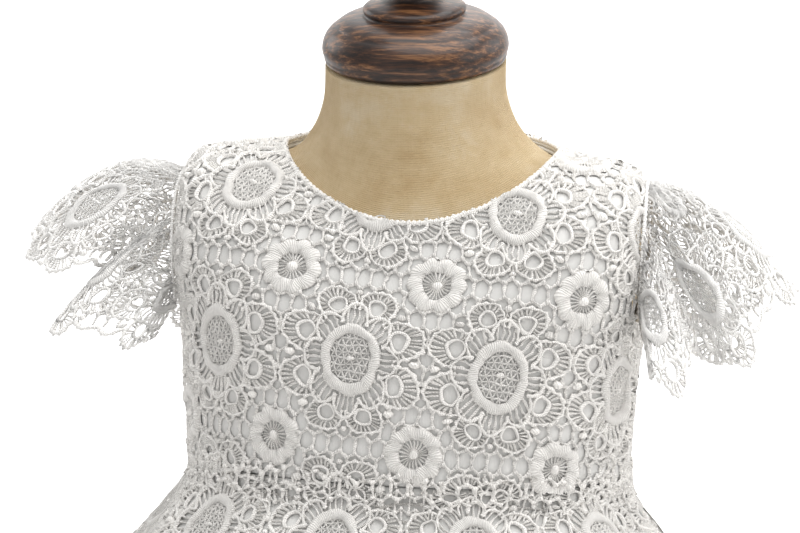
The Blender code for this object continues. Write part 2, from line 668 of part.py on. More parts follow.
def lathe(name, profile, segments, finish, matrix=Matrix.Identity(4)):
    """A turned solid: profile rows are (radius, height), from the bottom's middle to the top's."""
    mesh = bmesh.new()
    rings = []
    for radius, height in profile:
        count = segments if radius > 1e-6 else 1
        rings.append([
            mesh.verts.new((
                radius * math.cos(2 * math.pi * n / segments),
                radius * math.sin(2 * math.pi * n / segments),
                height,
            ))
            for n in range(count)
        ])
    for low, high in zip(rings, rings[1:]):
        for n in range(segments):
            m = (n + 1) % segments
            if len(low) == 1:
                mesh.faces.new((low[0], high[m], high[n]))
            elif len(high) == 1:
                mesh.faces.new((low[n], low[m], high[0]))
            else:
                mesh.faces.new((low[n], low[m], high[m], high[n]))
    mesh.transform(matrix)
    data = bpy.data.meshes.new(name)
    mesh.to_mesh(data)
    mesh.free()
    data.shade_smooth()
    data.set_sharp_from_angle(angle=math.radians(35))
    made = bpy.data.objects.new(name, data)
    made.data.materials.append(material(finish))
    bpy.context.scene.collection.objects.link(made)
    return made


def form_torso():
    """The linen-covered form, closed at the neck's top and below the seat."""
    segments = TORSO_SEGMENTS
    rows = np.concatenate([np.arange(0, 6.01, 0.5), np.arange(7, len(FORM_ROWS))])
    turn = np.arange(segments) * 2 * math.pi / segments
    grid = moved_out(form_point, turn[None, :] + 0 * rows[:, None], rows[:, None] + 0 * turn, -FORM_EASE)
    verts = list(grid.reshape(-1, 3)) + [grid[0].mean(0), grid[-1].mean(0)]
    top, bottom = len(verts) - 2, len(verts) - 1
    faces = []
    for ring in range(len(rows) - 1):
        for n in range(segments):
            a, b = ring * segments + n, ring * segments + (n + 1) % segments
            c, d = b + segments, a + segments
            faces += [(a, d, c), (a, c, b)]
    last = (len(rows) - 1) * segments
    for n in range(segments):
        m = (n + 1) % segments
        faces.append((top, n, m))
        faces.append((bottom, last + m, last + n))
    return add_object("form_torso", verts, faces, "linen")


CAP_PROFILE = (
    # radius, height above the neck's top, in millimetres
    (0, 0.5), (34.2, 0.5), (35.4, 1.6), (35.4, 3.4), (34.0, 4.6), (35.0, 6.2), (34.8, 9.0),
    (32.6, 12.4), (28.4, 15.6), (22.5, 18.2), (19.0, 18.9), (19.2, 21.4), (17.0, 23.0),
    (9.2, 25.0), (8.4, 28.0), (12.6, 32.0), (15.0, 37.5), (14.4, 43.5), (9.8, 49.4), (0, 52.0),
)
BASE_PROFILE = (
    # share of BASE_RADIUS, height in millimetres
    (0, 0), (0.985, 0), (1, 2.5), (1, 10), (0.94, 15), (0.86, 20), (0.16, 22), (0, 22),
)


def stand():
    base = [(BASE_RADIUS * share, 0.001 * height) for share, height in BASE_PROFILE]
    lathe("stand_base", base, BASE_SEGMENTS, "wood")
    foot = base[-1][1] + TOUCH_GAP
    head = SHOULDER_Z + 0.001 * FORM_ROWS[-1][1] + FORM_EASE - TOUCH_GAP
    wide = POLE_RADIUS + COLLAR_WALL
    pole = [
        (0, foot), (wide, foot), (wide - 0.001, foot + 0.004), (POLE_RADIUS, foot + 0.012),
        (POLE_RADIUS, head - COLLAR_LENGTH), (wide, head - 0.011), (wide, head), (0, head),
    ]
    lathe("stand_pole", pole, POLE_SEGMENTS, "wood")


def neck_cap():
    """The turned wooden cap and ball, square to the neck's leaning top."""
    top = form_point(np.arange(4) * math.pi / 2, np.zeros(4)).mean(0)
    matrix = Matrix.Translation(Vector(top)) @ Matrix.Rotation(CAP_TILT, 4, "X")
    profile = [(0.001 * radius, 0.001 * height) for radius, height in CAP_PROFILE]
    lathe("form_neck_cap", profile, CAP_SEGMENTS, "wood", matrix)


# ---- back closing --------------------------------------------------------------------------

PLACKET_HALF_WIDTH = 0.0065
PLACKET_ROWS = 10
BUTTONS = 4
BUTTON_RADIUS = 0.0048
BUTTON_HEIGHT = 0.0026
BUTTON_SEGMENTS = 10


def placket_place(across, row, distance):
    """Point over the back's middle: across is metres from the opening, at one of the form's rows."""
    ring = form_point(np.array([math.pi / 2]), np.array([row]))[0]
    angle = math.pi / 2 - across / abs(ring[1])
    return moved_out(form_point, np.array([angle]), np.array([row]), distance)[0]


def placket():
    rows = np.linspace(ROW["neckline"] + 0.02, WAIST_ROW - 0.03, PLACKET_ROWS)
    verts = []
    for distance in (PLACKET_IN, PLACKET_OUT):
        for row in rows:
            verts += [placket_place(side * PLACKET_HALF_WIDTH, row, distance) for side in (-1, 0, 1)]
    layer = len(rows) * 3
    faces = []
    for r in range(len(rows) - 1):
        for c in range(2):
            a, b = r * 3 + c, r * 3 + c + 1
            inner = [(a, b + 3, b), (a, a + 3, b + 3)]
            faces += inner + [tuple(i + layer for i in reversed(face)) for face in inner]
    directed = {(f[i], f[(i + 1) % 3]) for f in faces for i in range(3)}
    for a, b in sorted(directed):
        if (b, a) not in directed and a < layer and b < layer:
            faces += [(b, a, a + layer), (b, a + layer, b + layer)]
    return add_object("back_placket", verts, faces, "lining")


def buttons():
    profile = ((0, 0), (0.85, 0), (1.0, 0.5), (0.85, 1.0), (0, 0.8))
    rows = np.linspace(ROW["neckline"] + 0.35, WAIST_ROW - 0.75, BUTTONS)
    for number, row in enumerate(rows, 1):
        foot = Vector(placket_place(0.0, row, PLACKET_OUT + TOUCH_GAP))
        head = Vector(placket_place(0.0, row, PLACKET_OUT + BUTTON_HEIGHT))
        turn = (head - foot).to_track_quat("Z", "Y").to_matrix().to_4x4()
        scaled = [(BUTTON_RADIUS * radius, BUTTON_HEIGHT * height) for radius, height in profile]
        lathe(f"button_{number}", scaled, BUTTON_SEGMENTS, "button", Matrix.Translation(foot) @ turn)


# ---- the whole -----------------------------------------------------------------------------

def bodice():
    side = math.pi
    panels = {
        "front": (BodicePanel(side, 2 * side, 20, True, True, 10), 5),
        "back_left": (BodicePanel(0, side / 2, 10, True, False, 10), 4),
        "back_right": (BodicePanel(side / 2, side, 10, False, True, 0), 4),
    }
    for name, (cut, eyelets) in panels.items():
        net = Net(cut, cut.lining_edge())
        net.solid(f"bodice_lining_{name}", LINING_IN, LINING_OUT, "lining")
        holes = eyelet_holes(net.edge, bodice_medallions(net.edge), eyelets, HOLE_SIDES)
        net.solid(f"bodice_lace_{name}", LACE_IN, LACE_OUT, "lace", holes)


def skirt():
    for name, start in (("front", math.pi), ("back", 0.0)):
        cut = SkirtHalf(start)
        lining = Net(cut, cut.lining_edge())
        lace = Net(cut, cut.lace_edge(), lining)
        lining.solid(f"skirt_lining_{name}", LINING_IN, LINING_OUT, "lining")
        holes = eyelet_holes(lace.edge, skirt_medallions(cut), 1, SKIRT_HOLE_SIDES)
        lace.solid(f"skirt_lace_{name}", LACE_IN, LACE_OUT, "lace", holes)


def sleeves():
    for name, side in (("right", -1), ("left", 1)):
        sleeve = Sleeve(SLEEVE_EDGES[name], side, SLEEVE_SHIFTS[name])
        net = Net(sleeve, sleeve.lace_edge())
        holes = eyelet_holes(net.edge, sleeve.medallions(), EYELETS, HOLE_SIDES)
        net.solid(f"sleeve_{name}", -SLEEVE_WALL / 2, SLEEVE_WALL / 2, "lace", holes, keep_lines=False)


def main():
    clear_scene()
    stand()
    form_torso()
    neck_cap()
    bodice()
    placket()
    buttons()
    skirt()
    sleeves()


main()
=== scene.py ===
"""Looks of a christening gown of guipure lace over a plain lining, on a limbless child's dress form.

Metres, +Z up; the front faces -Y and the wearer's left side is at +X. The gown's panels are flat cuts
laid on the form's surface, with the same rows and sizes as the solids have. The lace is drawn thread by
thread on the flat cuts, as padded rings, arches, eyelets, fans, daisies and a ground of twisted bars,
and is then laid over the lining. Heights of threads are from the lace's underside.
"""

import math

import bpy
import numpy as np
from mathutils import Matrix, Quaternion, Vector


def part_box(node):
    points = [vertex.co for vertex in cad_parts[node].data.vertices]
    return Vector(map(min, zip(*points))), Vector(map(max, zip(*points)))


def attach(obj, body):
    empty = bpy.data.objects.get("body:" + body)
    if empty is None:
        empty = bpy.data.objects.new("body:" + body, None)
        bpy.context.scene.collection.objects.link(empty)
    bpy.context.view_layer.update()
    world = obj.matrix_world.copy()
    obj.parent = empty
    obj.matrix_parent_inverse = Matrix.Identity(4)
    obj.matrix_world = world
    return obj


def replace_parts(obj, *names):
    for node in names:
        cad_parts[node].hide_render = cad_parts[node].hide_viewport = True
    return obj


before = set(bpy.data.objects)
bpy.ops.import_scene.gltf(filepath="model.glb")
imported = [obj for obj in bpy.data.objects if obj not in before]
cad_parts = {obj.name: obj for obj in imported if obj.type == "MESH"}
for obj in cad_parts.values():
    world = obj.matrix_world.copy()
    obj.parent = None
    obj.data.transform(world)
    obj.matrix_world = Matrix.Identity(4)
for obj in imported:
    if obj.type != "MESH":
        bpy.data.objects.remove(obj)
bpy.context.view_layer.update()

MM = 0.001

# ---- sizes shared with the solids ------------------------------------------------------------

SHOULDER_Z = 0.560          # where the neckline crosses the top of the shoulder
SEAM_HALF_ANGLE = math.radians(0.15)
FORM_EASE = 0.0013          # how far inside its rows' rings the form itself stays
LINING_IN, LINING_OUT = 0.0005, 0.0015
LACE_IN, LACE_OUT = 0.0024, 0.0036
PLACKET_IN, PLACKET_OUT = 0.0044, 0.0052

FORM_ROWS = (
    # name, side z, front z, back z, half width, front depth, back depth, shift to +X, lower at +X,
    # corner fullness, dip power
    ("neck_top", 33, 24, 42, 35.5, 35.5, 35.5, 0.0, 0.0, 0.00, 1.0),
    ("neck", 20, 11, 29, 36.0, 36.0, 36.0, 0.0, 0.0, 0.00, 1.0),
    ("neck_root", 8, -7, 16, 41.0, 38.0, 37.0, 1.0, 0.4, 0.00, 1.6),
    ("neckline", -1, -25.5, 6, 51.2, 43.0, 39.0, 3.0, 1.2, 0.01, 1.7),
    ("shoulder", -3, -37, -8, 69.0, 48.0, 46.0, 1.5, 1.7, 0.02, 2.0),
    ("shoulder_tip", -9, -49, -24, 84.5, 53.5, 52.0, 0.5, 2.0, 0.06, 2.0),
    ("upper_arm", -35, -60, -46, 87.5, 58.5, 57.0, 0.0, 2.0, 0.09, 2.0),
    ("chest", -71, -71, -71, 84.0, 61.5, 60.0, 0.0, 2.0, 0.07, 2.0),
    ("ribs", -95, -95, -95, 81.8, 63.0, 58.0, 0.0, 2.0, 0.05, 2.0),
    ("waist", -119, -119, -119, 81.0, 64.0, 57.0, 0.0, 2.0, 0.04, 2.0),
    ("belly", -150, -150, -150, 82.0, 66.0, 58.0, 0.0, 1.5, 0.04, 2.0),
    ("hip", -190, -190, -190, 84.5, 65.0, 63.0, 0.0, 0.7, 0.04, 2.0),
    ("seat", -222, -222, -222, 80.0, 60.0, 61.0, 0.0, 0.0, 0.03, 2.0),
    ("under", -243, -243, -243, 64.0, 48.0, 50.0, 0.0, 0.0, 0.02, 2.0),
    ("bottom", -252, -252, -252, 34.0, 28.0, 28.0, 0.0, 0.0, 0.00, 2.0),
)
ROW = {row[0]: index for index, row in enumerate(FORM_ROWS)}
FORM_TABLE = np.array([row[1:] for row in FORM_ROWS], float)
FORM_TABLE[:, :8] *= MM

ARMHOLE_TOP = ROW["shoulder_tip"]
ARMHOLE_BOTTOM = ROW["chest"]
ARMHOLE_HALF_ANGLE = math.radians(22)

SKIRT_LENGTH = 0.340
LINING_LENGTH = 0.326
SKIRT_CIRCLE = 2 / 3
SKIRT_LEAN = ((0.000, 0), (0.010, 30), (0.028, 41), (0.060, 38), (0.120, 30), (0.200, 19), (0.340, 8))
SKIRT_WAVES = 10
WAVES_START = 0.060
SKIRT_ROWS = 6              # of medallions, the last along the hem
FIRST_ROW_TURN = -0.33      # of the first row, in repeats
MEDALLION_REACH = 0.0235    # from a row's middles to the waist above the first, or the last scallops
SCALLOPS = 17               # along the hem of each half
SCALLOP_DEPTH = 0.007
SEAM_DROP = 0.0004

REPEAT_WIDTH = 0.054
REPEAT_HEIGHT = 0.063
LACE_TILT = math.radians(-3.5)
LACE_ORIGIN = (-0.014, 0.045)   # a medallion, from the middle of the front waist

BASE_RADIUS = 0.125
CAP_TILT = math.radians(15)     # the neck's top leans to the front

SLEEVE_REACH = math.radians(128)
SLEEVE_MEDALLIONS = 5
SLEEVE_LIFT = 0.0008
SEAM_SHARE_ROUND, SEAM_SHARE_DOWN = 0.93, 0.955
SLEEVE_EDGES = {
    "right": (
        # share of the seam, x, y, z, lift
        (0.00, 92, -29, -70, 0),
        (0.09, 105, -45, -72, 4),
        (0.18, 129, -38, -67, 6),
        (0.27, 117, -22, -50, 3),
        (0.36, 125, -36, -46, 7),
        (0.46, 148, -12, -39, 13),
        (0.56, 147, 14, -38, 13),
        (0.66, 126, 31, -49, 6),
        (0.75, 121, 22, -57, 3),
        (0.86, 128, 38, -67, 6),
        (1.00, 92, 28, -72, 0),
    ),
    "left": (
        (0.00, 92, -30, -73, 0),
        (0.09, 96, -51, -76, 4),
        (0.18, 107, -45, -81, 6),
        (0.27, 112, -23, -72, 4),
        (0.36, 128, -33, -71, 6),
        (0.46, 142, -14, -50, 8),
        (0.56, 141, 12, -48, 8),
        (0.66, 124, 31, -58, 5),
        (0.75, 119, 18, -67, 3),
        (0.86, 123, 40, -77, 6),
        (1.00, 92, 28, -75, 0),
    ),
}
SLEEVE_SHIFTS = {"right": 0.4, "left": 0.0}     # of the medallions along the edge, in repeats

# ---- camera ----------------------------------------------------------------------------------

CAMERA_AZIMUTH = math.radians(9)
CAMERA_ELEVATION = math.radians(5)
CAMERA_ROLL = math.radians(0.8)
CAMERA_DISTANCE = 1.25
FRAME_WIDTH = 0.304         # of what the camera sees at the form
CAMERA_AIM = Vector((-0.005, 0, SHOULDER_Z - 0.045))


def camera():
    data = bpy.data.cameras.new("camera")
    data.sensor_width = 36
    data.lens = data.sensor_width * CAMERA_DISTANCE / FRAME_WIDTH
    made = bpy.data.objects.new("camera", data)
    bpy.context.scene.collection.objects.link(made)
    toward = Vector((
        math.sin(CAMERA_AZIMUTH) * math.cos(CAMERA_ELEVATION),
        -math.cos(CAMERA_AZIMUTH) * math.cos(CAMERA_ELEVATION),
        math.sin(CAMERA_ELEVATION),
    ))
    made.location = CAMERA_AIM + toward * CAMERA_DISTANCE
    made.rotation_mode = "QUATERNION"
    made.rotation_quaternion = (-toward).to_track_quat("-Z", "Y") @ Quaternion((0, 0, 1), CAMERA_ROLL)
    bpy.context.scene.camera = made


# ---- surfaces, as in the solids --------------------------------------------------------------

def unit(vectors):
    return vectors / np.linalg.norm(vectors, axis=-1, keepdims=True)


def smooth_rows(table, place):
    """Values of a table's columns at places counted in rows, smooth from row to row."""
    last = len(table) - 1
    low = np.clip(np.floor(place).astype(int), 0, last - 1)
    u = (place - low)[..., None]
    before, here = table[np.maximum(low - 1, 0)], table[low]
    after, beyond = table[low + 1], table[np.minimum(low + 2, last)]
    slope_here, slope_after = (after - before) / 2, (beyond - here) / 2
    return (
        (2 * u**3 - 3 * u**2 + 1) * here
        + (u**3 - 2 * u**2 + u) * slope_here
        + (3 * u**2 - 2 * u**3) * after
        + (u**3 - u**2) * slope_after
    )


def moved_out(surface, u, v, distance, step=1e-3):
    """Points of surface(u, v), moved along its normal. surface turns left in u and runs down in v."""
    across = surface(u + step, v) - surface(u - step, v)
    down = surface(u, v + step) - surface(u, v - step)
    return surface(u, v) + unit(np.cross(down, across)) * np.asarray(distance)[..., None]


def form_point(angle, row):
    """Point of the form. Angle 0 is +X and 270 degrees is the front."""
    columns = np.moveaxis(smooth_rows(FORM_TABLE, row), -1, 0)
    z_side, z_front, z_back, half_width, front, back, shift, askew, corner, dip_power = columns
    cosine, sine = np.cos(angle), np.sin(angle)
    z_end = np.where(sine < 0, z_front, z_back)
    depth = np.where(sine < 0, front, back)
    swell = 1 + corner * np.sin(2 * angle) ** 2
    z = SHOULDER_Z + z_side + (z_end - z_side) * np.abs(sine) ** dip_power - askew * cosine
    return np.stack([shift + half_width * cosine * swell, depth * sine * swell, z], -1)


def armhole_reach(row):
    """How far the armhole reaches round from the side seam at this row, as an angle."""
    middle = (ARMHOLE_TOP + ARMHOLE_BOTTOM) / 2
    half = (ARMHOLE_BOTTOM - ARMHOLE_TOP) / 2
    return ARMHOLE_HALF_ANGLE * np.sqrt(np.clip(1 - ((row - middle) / half) ** 2, 0, 1))


# Soft creases of the bodice. Ridges are out from the form, troughs towards it.
BODICE_CREASES = (
    # angle and row of each end, half width in mm, height in mm
    (354, 7.15, 331, 8.95, 4.0, 2.6),
    (357, 7.6, 341, 9.3, 3.5, 2.0),
    (350, 6.9, 322, 8.1, 3.5, 1.5),
    (338, 7.1, 312, 8.4, 4.5, 1.0),
    (190, 7.2, 205, 9.0, 4.0, 1.8),
    (184, 7.7, 193, 9.2, 3.5, 1.6),
    (196, 6.9, 222, 7.9, 4.0, 1.0),
    (243, 8.0, 262, 9.1, 6.0, 1.0),
    (300, 7.9, 283, 9.2, 6.0, 1.1),
    (14, 7.2, 33, 9.0, 4.5, 2.0),
    (24, 6.9, 52, 8.3, 4.5, 1.3),
    (166, 7.2, 146, 9.0, 4.5, 1.9),
    (157, 6.9, 128, 8.2, 4.5, 1.2),
    (70, 4.2, 74, 7.0, 5.0, 0.9),
    (112, 4.4, 107, 7.4, 5.0, 1.0),
)
CREASE_ROW = 0.024          # metres that one row counts for, along a crease
CREASE_TURN = 0.072         # metres that one radian counts for


def crease_height(angle, row, creases, row_size, turn_size):
    """How far the creases move the cloth out at these places."""
    total = np.zeros(np.shape(angle))
    for angle_a, row_a, angle_b, row_b, width, height in creases:
        start = np.array([math.radians(angle_a) * turn_size, row_a * row_size])
        run = np.array([math.radians(angle_b) * turn_size, row_b * row_size]) - start
        x = np.mod(angle, 2 * math.pi) * turn_size - start[0]
        y = row * row_size - start[1]
        share = (x * run[0] + y * run[1]) / (run @ run)
        off = np.hypot(x - share * run[0], y - share * run[1]) / (width * MM)
        beyond = np.clip(np.maximum(-share, share - 1), 0, None) * np.linalg.norm(run) / (2 * width * MM)
        swell = np.sin(np.clip(share, 0, 1) * math.pi) ** 0.5 * 0.85 + 0.15
        total += height * MM * swell * np.exp(-(off**2) - beyond**2)
    return total


LEAN_WAY, LEAN_ANGLE = np.array(SKIRT_LEAN).T
FINE_WAY = np.linspace(0, SKIRT_LENGTH + 0.02, 181)
FINE_LEAN = np.radians(np.interp(FINE_WAY, LEAN_WAY, LEAN_ANGLE))
FINE_STEP = FINE_WAY[1] - FINE_WAY[0]
FINE_OUT = np.concatenate([[0], np.cumsum(np.sin(FINE_LEAN[:-1]) * FINE_STEP)])
FINE_DOWN = np.concatenate([[0], np.cumsum(np.cos(FINE_LEAN[:-1]) * FINE_STEP)])

WAIST_ROW = float(ROW["waist"])
ROUND = np.linspace(0, 2 * math.pi, 721)
WAIST_RING = form_point(ROUND, np.full_like(ROUND, WAIST_ROW))
WAIST_LENGTH = float(np.linalg.norm(np.diff(WAIST_RING, axis=0), axis=1).sum()) + 2 * math.pi * LACE_OUT
WAIST_FLAT_RADIUS = WAIST_LENGTH / (2 * math.pi * SKIRT_CIRCLE)
SKIRT_HALF_SECTOR = math.pi * SKIRT_CIRCLE / 2      # from the middle of a half to its side seam


def wave_shape(angle):
    """The skirt's waves round the body, from -1 to 1, uneven in spacing and depth."""
    phase = SKIRT_WAVES * angle + 0.6 * np.sin(2 * angle + 0.7) + 0.35 * np.sin(3 * angle + 2.1)
    return np.cos(phase) * (0.88 + 0.16 * np.sin(3 * angle + 1.0)) + 0.12 * np.sin(5 * angle)


def wave_depth(way):
    """How deep the waves are: enough to take up the flat cut's spare cloth at this way down."""
    mean_radius = WAIST_LENGTH / (2 * math.pi) + np.interp(way, FINE_WAY, FINE_OUT)
    flat_length = 2 * math.pi * SKIRT_CIRCLE * (WAIST_FLAT_RADIUS + way)
    spare = np.clip(flat_length / (2 * math.pi * mean_radius) - 1, 0.0, None)
    return 2 * np.sqrt(spare) * mean_radius / SKIRT_WAVES * np.clip(way / WAVES_START, 0, 1)


def skirt_point(angle, way):
    """Point of the skirt, by the angle round the body and the way down the cloth."""
    ring = form_point(angle, np.full_like(angle, WAIST_ROW))
    step = 1e-3
    along = form_point(angle + step, np.full_like(angle, WAIST_ROW)) - ring
    outward = unit(np.stack([along[..., 1], -along[..., 0], np.zeros_like(angle)], -1))
    reach = np.interp(way, FINE_WAY, FINE_OUT) + wave_depth(way) * wave_shape(angle)
    fall = np.interp(way, FINE_WAY, FINE_DOWN) + SEAM_DROP
    down = np.stack([np.zeros_like(fall), np.zeros_like(fall), -fall], -1)
    return ring + outward * reach[..., None] + down


class SkirtHalf:
    """Flat places on one half of the skirt, and where they lie round the body."""

    def __init__(self, start_angle):
        self.start = start_angle + SEAM_HALF_ANGLE
        self.end = start_angle + math.pi - SEAM_HALF_ANGLE
        self.ways = np.linspace(0, SKIRT_LENGTH + 0.01, 36)
        self.angles = np.linspace(self.start, self.end, 361)
        way, angle = np.meshgrid(self.ways, self.angles, indexing="ij")
        grid = skirt_point(angle, way)
        steps = np.linalg.norm(np.diff(grid, axis=1), axis=2)
        lengths = np.concatenate([np.zeros((len(self.ways), 1)), np.cumsum(steps, axis=1)], axis=1)
        self.shares = lengths / lengths[:, -1:]

    def angle_at(self, share, way):
        """Angle round the body of a place this share of the way along the cloth."""
        level = np.clip(way / self.ways[1], 0, len(self.ways) - 1.001)
        low = level.astype(int)
        lower = np.empty_like(share)
        upper = np.empty_like(share)
        for row in np.unique(low):
            here = low == row
            lower[here] = np.interp(share[here], self.shares[row], self.angles)
            upper[here] = np.interp(share[here], self.shares[row + 1], self.angles)
        return lower + (upper - lower) * (level - low)

    def place(self, flat, distance):
        """Flat places, from the middle of the waist with y up, to points moved out from the cloth."""
        down = WAIST_FLAT_RADIUS - flat[:, 1]
        radius = np.hypot(flat[:, 0], down)
        turn = np.arctan2(flat[:, 0], down)
        way = np.maximum(radius - WAIST_FLAT_RADIUS, 0)
        angle = self.angle_at(np.clip(0.5 + 0.5 * turn / SKIRT_HALF_SECTOR, 0, 1), way)
        return moved_out(skirt_point, angle, way, distance)

    @staticmethod
    def ring(way, turn_share):
        """Flat places on a ring this way down, from one side seam at -1 to the other at 1."""
        turn = np.asarray(turn_share) * SKIRT_HALF_SECTOR
        radius = WAIST_FLAT_RADIUS + way
        return np.stack([radius * np.sin(turn), WAIST_FLAT_RADIUS - radius * np.cos(turn)], -1)

    def hem(self, points=SCALLOPS * 12):
        share = np.linspace(1, 0, points + 1)
        rise = SCALLOP_DEPTH * (1 - np.abs(np.sin(share * SCALLOPS * math.pi)))
        return self.ring(SKIRT_LENGTH - rise, share * 2 - 1)

    def medallions(self):
        """Middles and leans of the medallions, row by row from the waist to the hem."""
        found = []
        for row in range(SKIRT_ROWS):
            way = MEDALLION_REACH + (SKIRT_LENGTH - 2 * MEDALLION_REACH) * row / (SKIRT_ROWS - 1)
            count = round(2 * SKIRT_HALF_SECTOR * (WAIST_FLAT_RADIUS + way) / REPEAT_WIDTH)
            start = 0.5 + (FIRST_ROW_TURN if row == 0 else 0.0)
            shares = [2 * (start + n) / count - 1 for n in range(-1, count + 1)]
            found += [(*self.ring(way, share), share * SKIRT_HALF_SECTOR) for share in shares]
        return np.array(found)

    def daisies(self, medallions):
        """Middles and leans of the daisies, where the rows of medallions leave room."""
        found = []
        pitch = (SKIRT_LENGTH - 2 * MEDALLION_REACH) / (SKIRT_ROWS - 1)
        for row in range(SKIRT_ROWS - 1):
            way = MEDALLION_REACH + pitch * (row + 0.5)
            count = round(2 * SKIRT_HALF_SECTOR * (WAIST_FLAT_RADIUS + way) / (REPEAT_WIDTH / 6))
            for n in range(count):
                share = 2 * (n + 0.5) / count - 1
                middle = self.ring(way, share)
                clear = np.hypot(*(medallions[:, :2] - middle).T).min() > DAISY_CLEAR
                apart = not found or np.hypot(*(np.array(found)[:, :2] - middle).T).min() > REPEAT_WIDTH * 0.8
                if clear and apart:
                    found.append((*middle, share * SKIRT_HALF_SECTOR))
        return np.array(found)


def flat_pattern(points, faces, rounds=25):
    """Lays a curved sheet of triangles flat with the least stretch, as-rigid-as-possible."""
    corners = points[faces]
    first = corners[:, 1] - corners[:, 0]
    third = corners[:, 2] - corners[:, 0]
    along = unit(first)
    local = np.zeros((len(faces), 3, 2))
    local[:, 1, 0] = np.linalg.norm(first, axis=1)
    local[:, 2, 0] = (third * along).sum(1)
    local[:, 2, 1] = np.linalg.norm(np.cross(along, third), axis=1)

    size = len(points)
    stiffness = np.zeros((size, size))
    pulls = []
    for i in range(3):
        j, k = (i + 1) % 3, (i + 2) % 3
        to_i, to_j = local[:, i] - local[:, k], local[:, j] - local[:, k]
        turn = np.abs(to_i[:, 0] * to_j[:, 1] - to_i[:, 1] * to_j[:, 0])
        weight = np.clip((to_i * to_j).sum(1) / turn, 0.05, None)
        a, b = faces[:, i], faces[:, j]
        np.add.at(stiffness, (a, a), weight)
        np.add.at(stiffness, (b, b), weight)
        np.add.at(stiffness, (a, b), -weight)
        np.add.at(stiffness, (b, a), -weight)
        pulls.append((a, b, weight, local[:, i] - local[:, j]))
    stiffness[0, 0] += 1.0      # holds one point, so that the answer is the only one

    flat = start_layout(points)
    for _ in range(rounds):
        spread = sum(
            weight[:, None, None] * (flat[a] - flat[b])[:, :, None] * offset[:, None, :]
            for a, b, weight, offset in pulls
        )
        angle = np.arctan2(spread[:, 1, 0] - spread[:, 0, 1], spread[:, 0, 0] + spread[:, 1, 1])
        cosine, sine = np.cos(angle), np.sin(angle)
        wanted = np.zeros((size, 2))
        wanted[0] += flat[0]
        for a, b, weight, offset in pulls:
            turned = np.stack(
                [cosine * offset[:, 0] - sine * offset[:, 1], sine * offset[:, 0] + cosine * offset[:, 1]], -1
            )
            np.add.at(wanted, a, weight[:, None] * turned)
            np.add.at(wanted, b, -weight[:, None] * turned)
        flat = np.linalg.solve(stiffness, wanted)
    return flat


def start_layout(points):
    """First guess for a flat pattern: seen from outside, across the panel and up."""
    middle = points.mean(0)
    facing = -1.0 if middle[1] < 0 else 1.0
    across = np.array([-facing, 0.0, 0.0])
    if abs(middle[0]) > 0.02:
        across = np.array([-facing * 0.8, math.copysign(0.6, middle[0]), 0.0])
    return np.stack([points @ across, points[:, 2]], -1)


def shares_of(points, flat, faces, chunk=20000):
    """For each flat point, the corners of the triangle that holds it, and their shares."""
    corner = flat[faces]
    side_1, side_2 = corner[:, 1] - corner[:, 0], corner[:, 2] - corner[:, 0]
    turn = side_1[:, 0] * side_2[:, 1] - side_1[:, 1] * side_2[:, 0]
    found = []
    for start in range(0, len(points), chunk):
        away = points[start:start + chunk, None, :] - corner[None, :, 0, :]
        second = (away[..., 0] * side_2[:, 1] - away[..., 1] * side_2[:, 0]) / turn
        third = (side_1[:, 0] * away[..., 1] - side_1[:, 1] * away[..., 0]) / turn
        best = np.minimum(np.minimum(second, third), 1 - second - third).argmax(1)
        pick = np.arange(len(away))
        found.append(np.stack([second[pick, best], third[pick, best], best], -1))
    second, third, best = np.concatenate(found).T
    share = np.clip(np.stack([1 - second - third, second, third], -1), -0.5, 1.5)
    return faces[best.astype(int)], share / share.sum(1, keepdims=True)


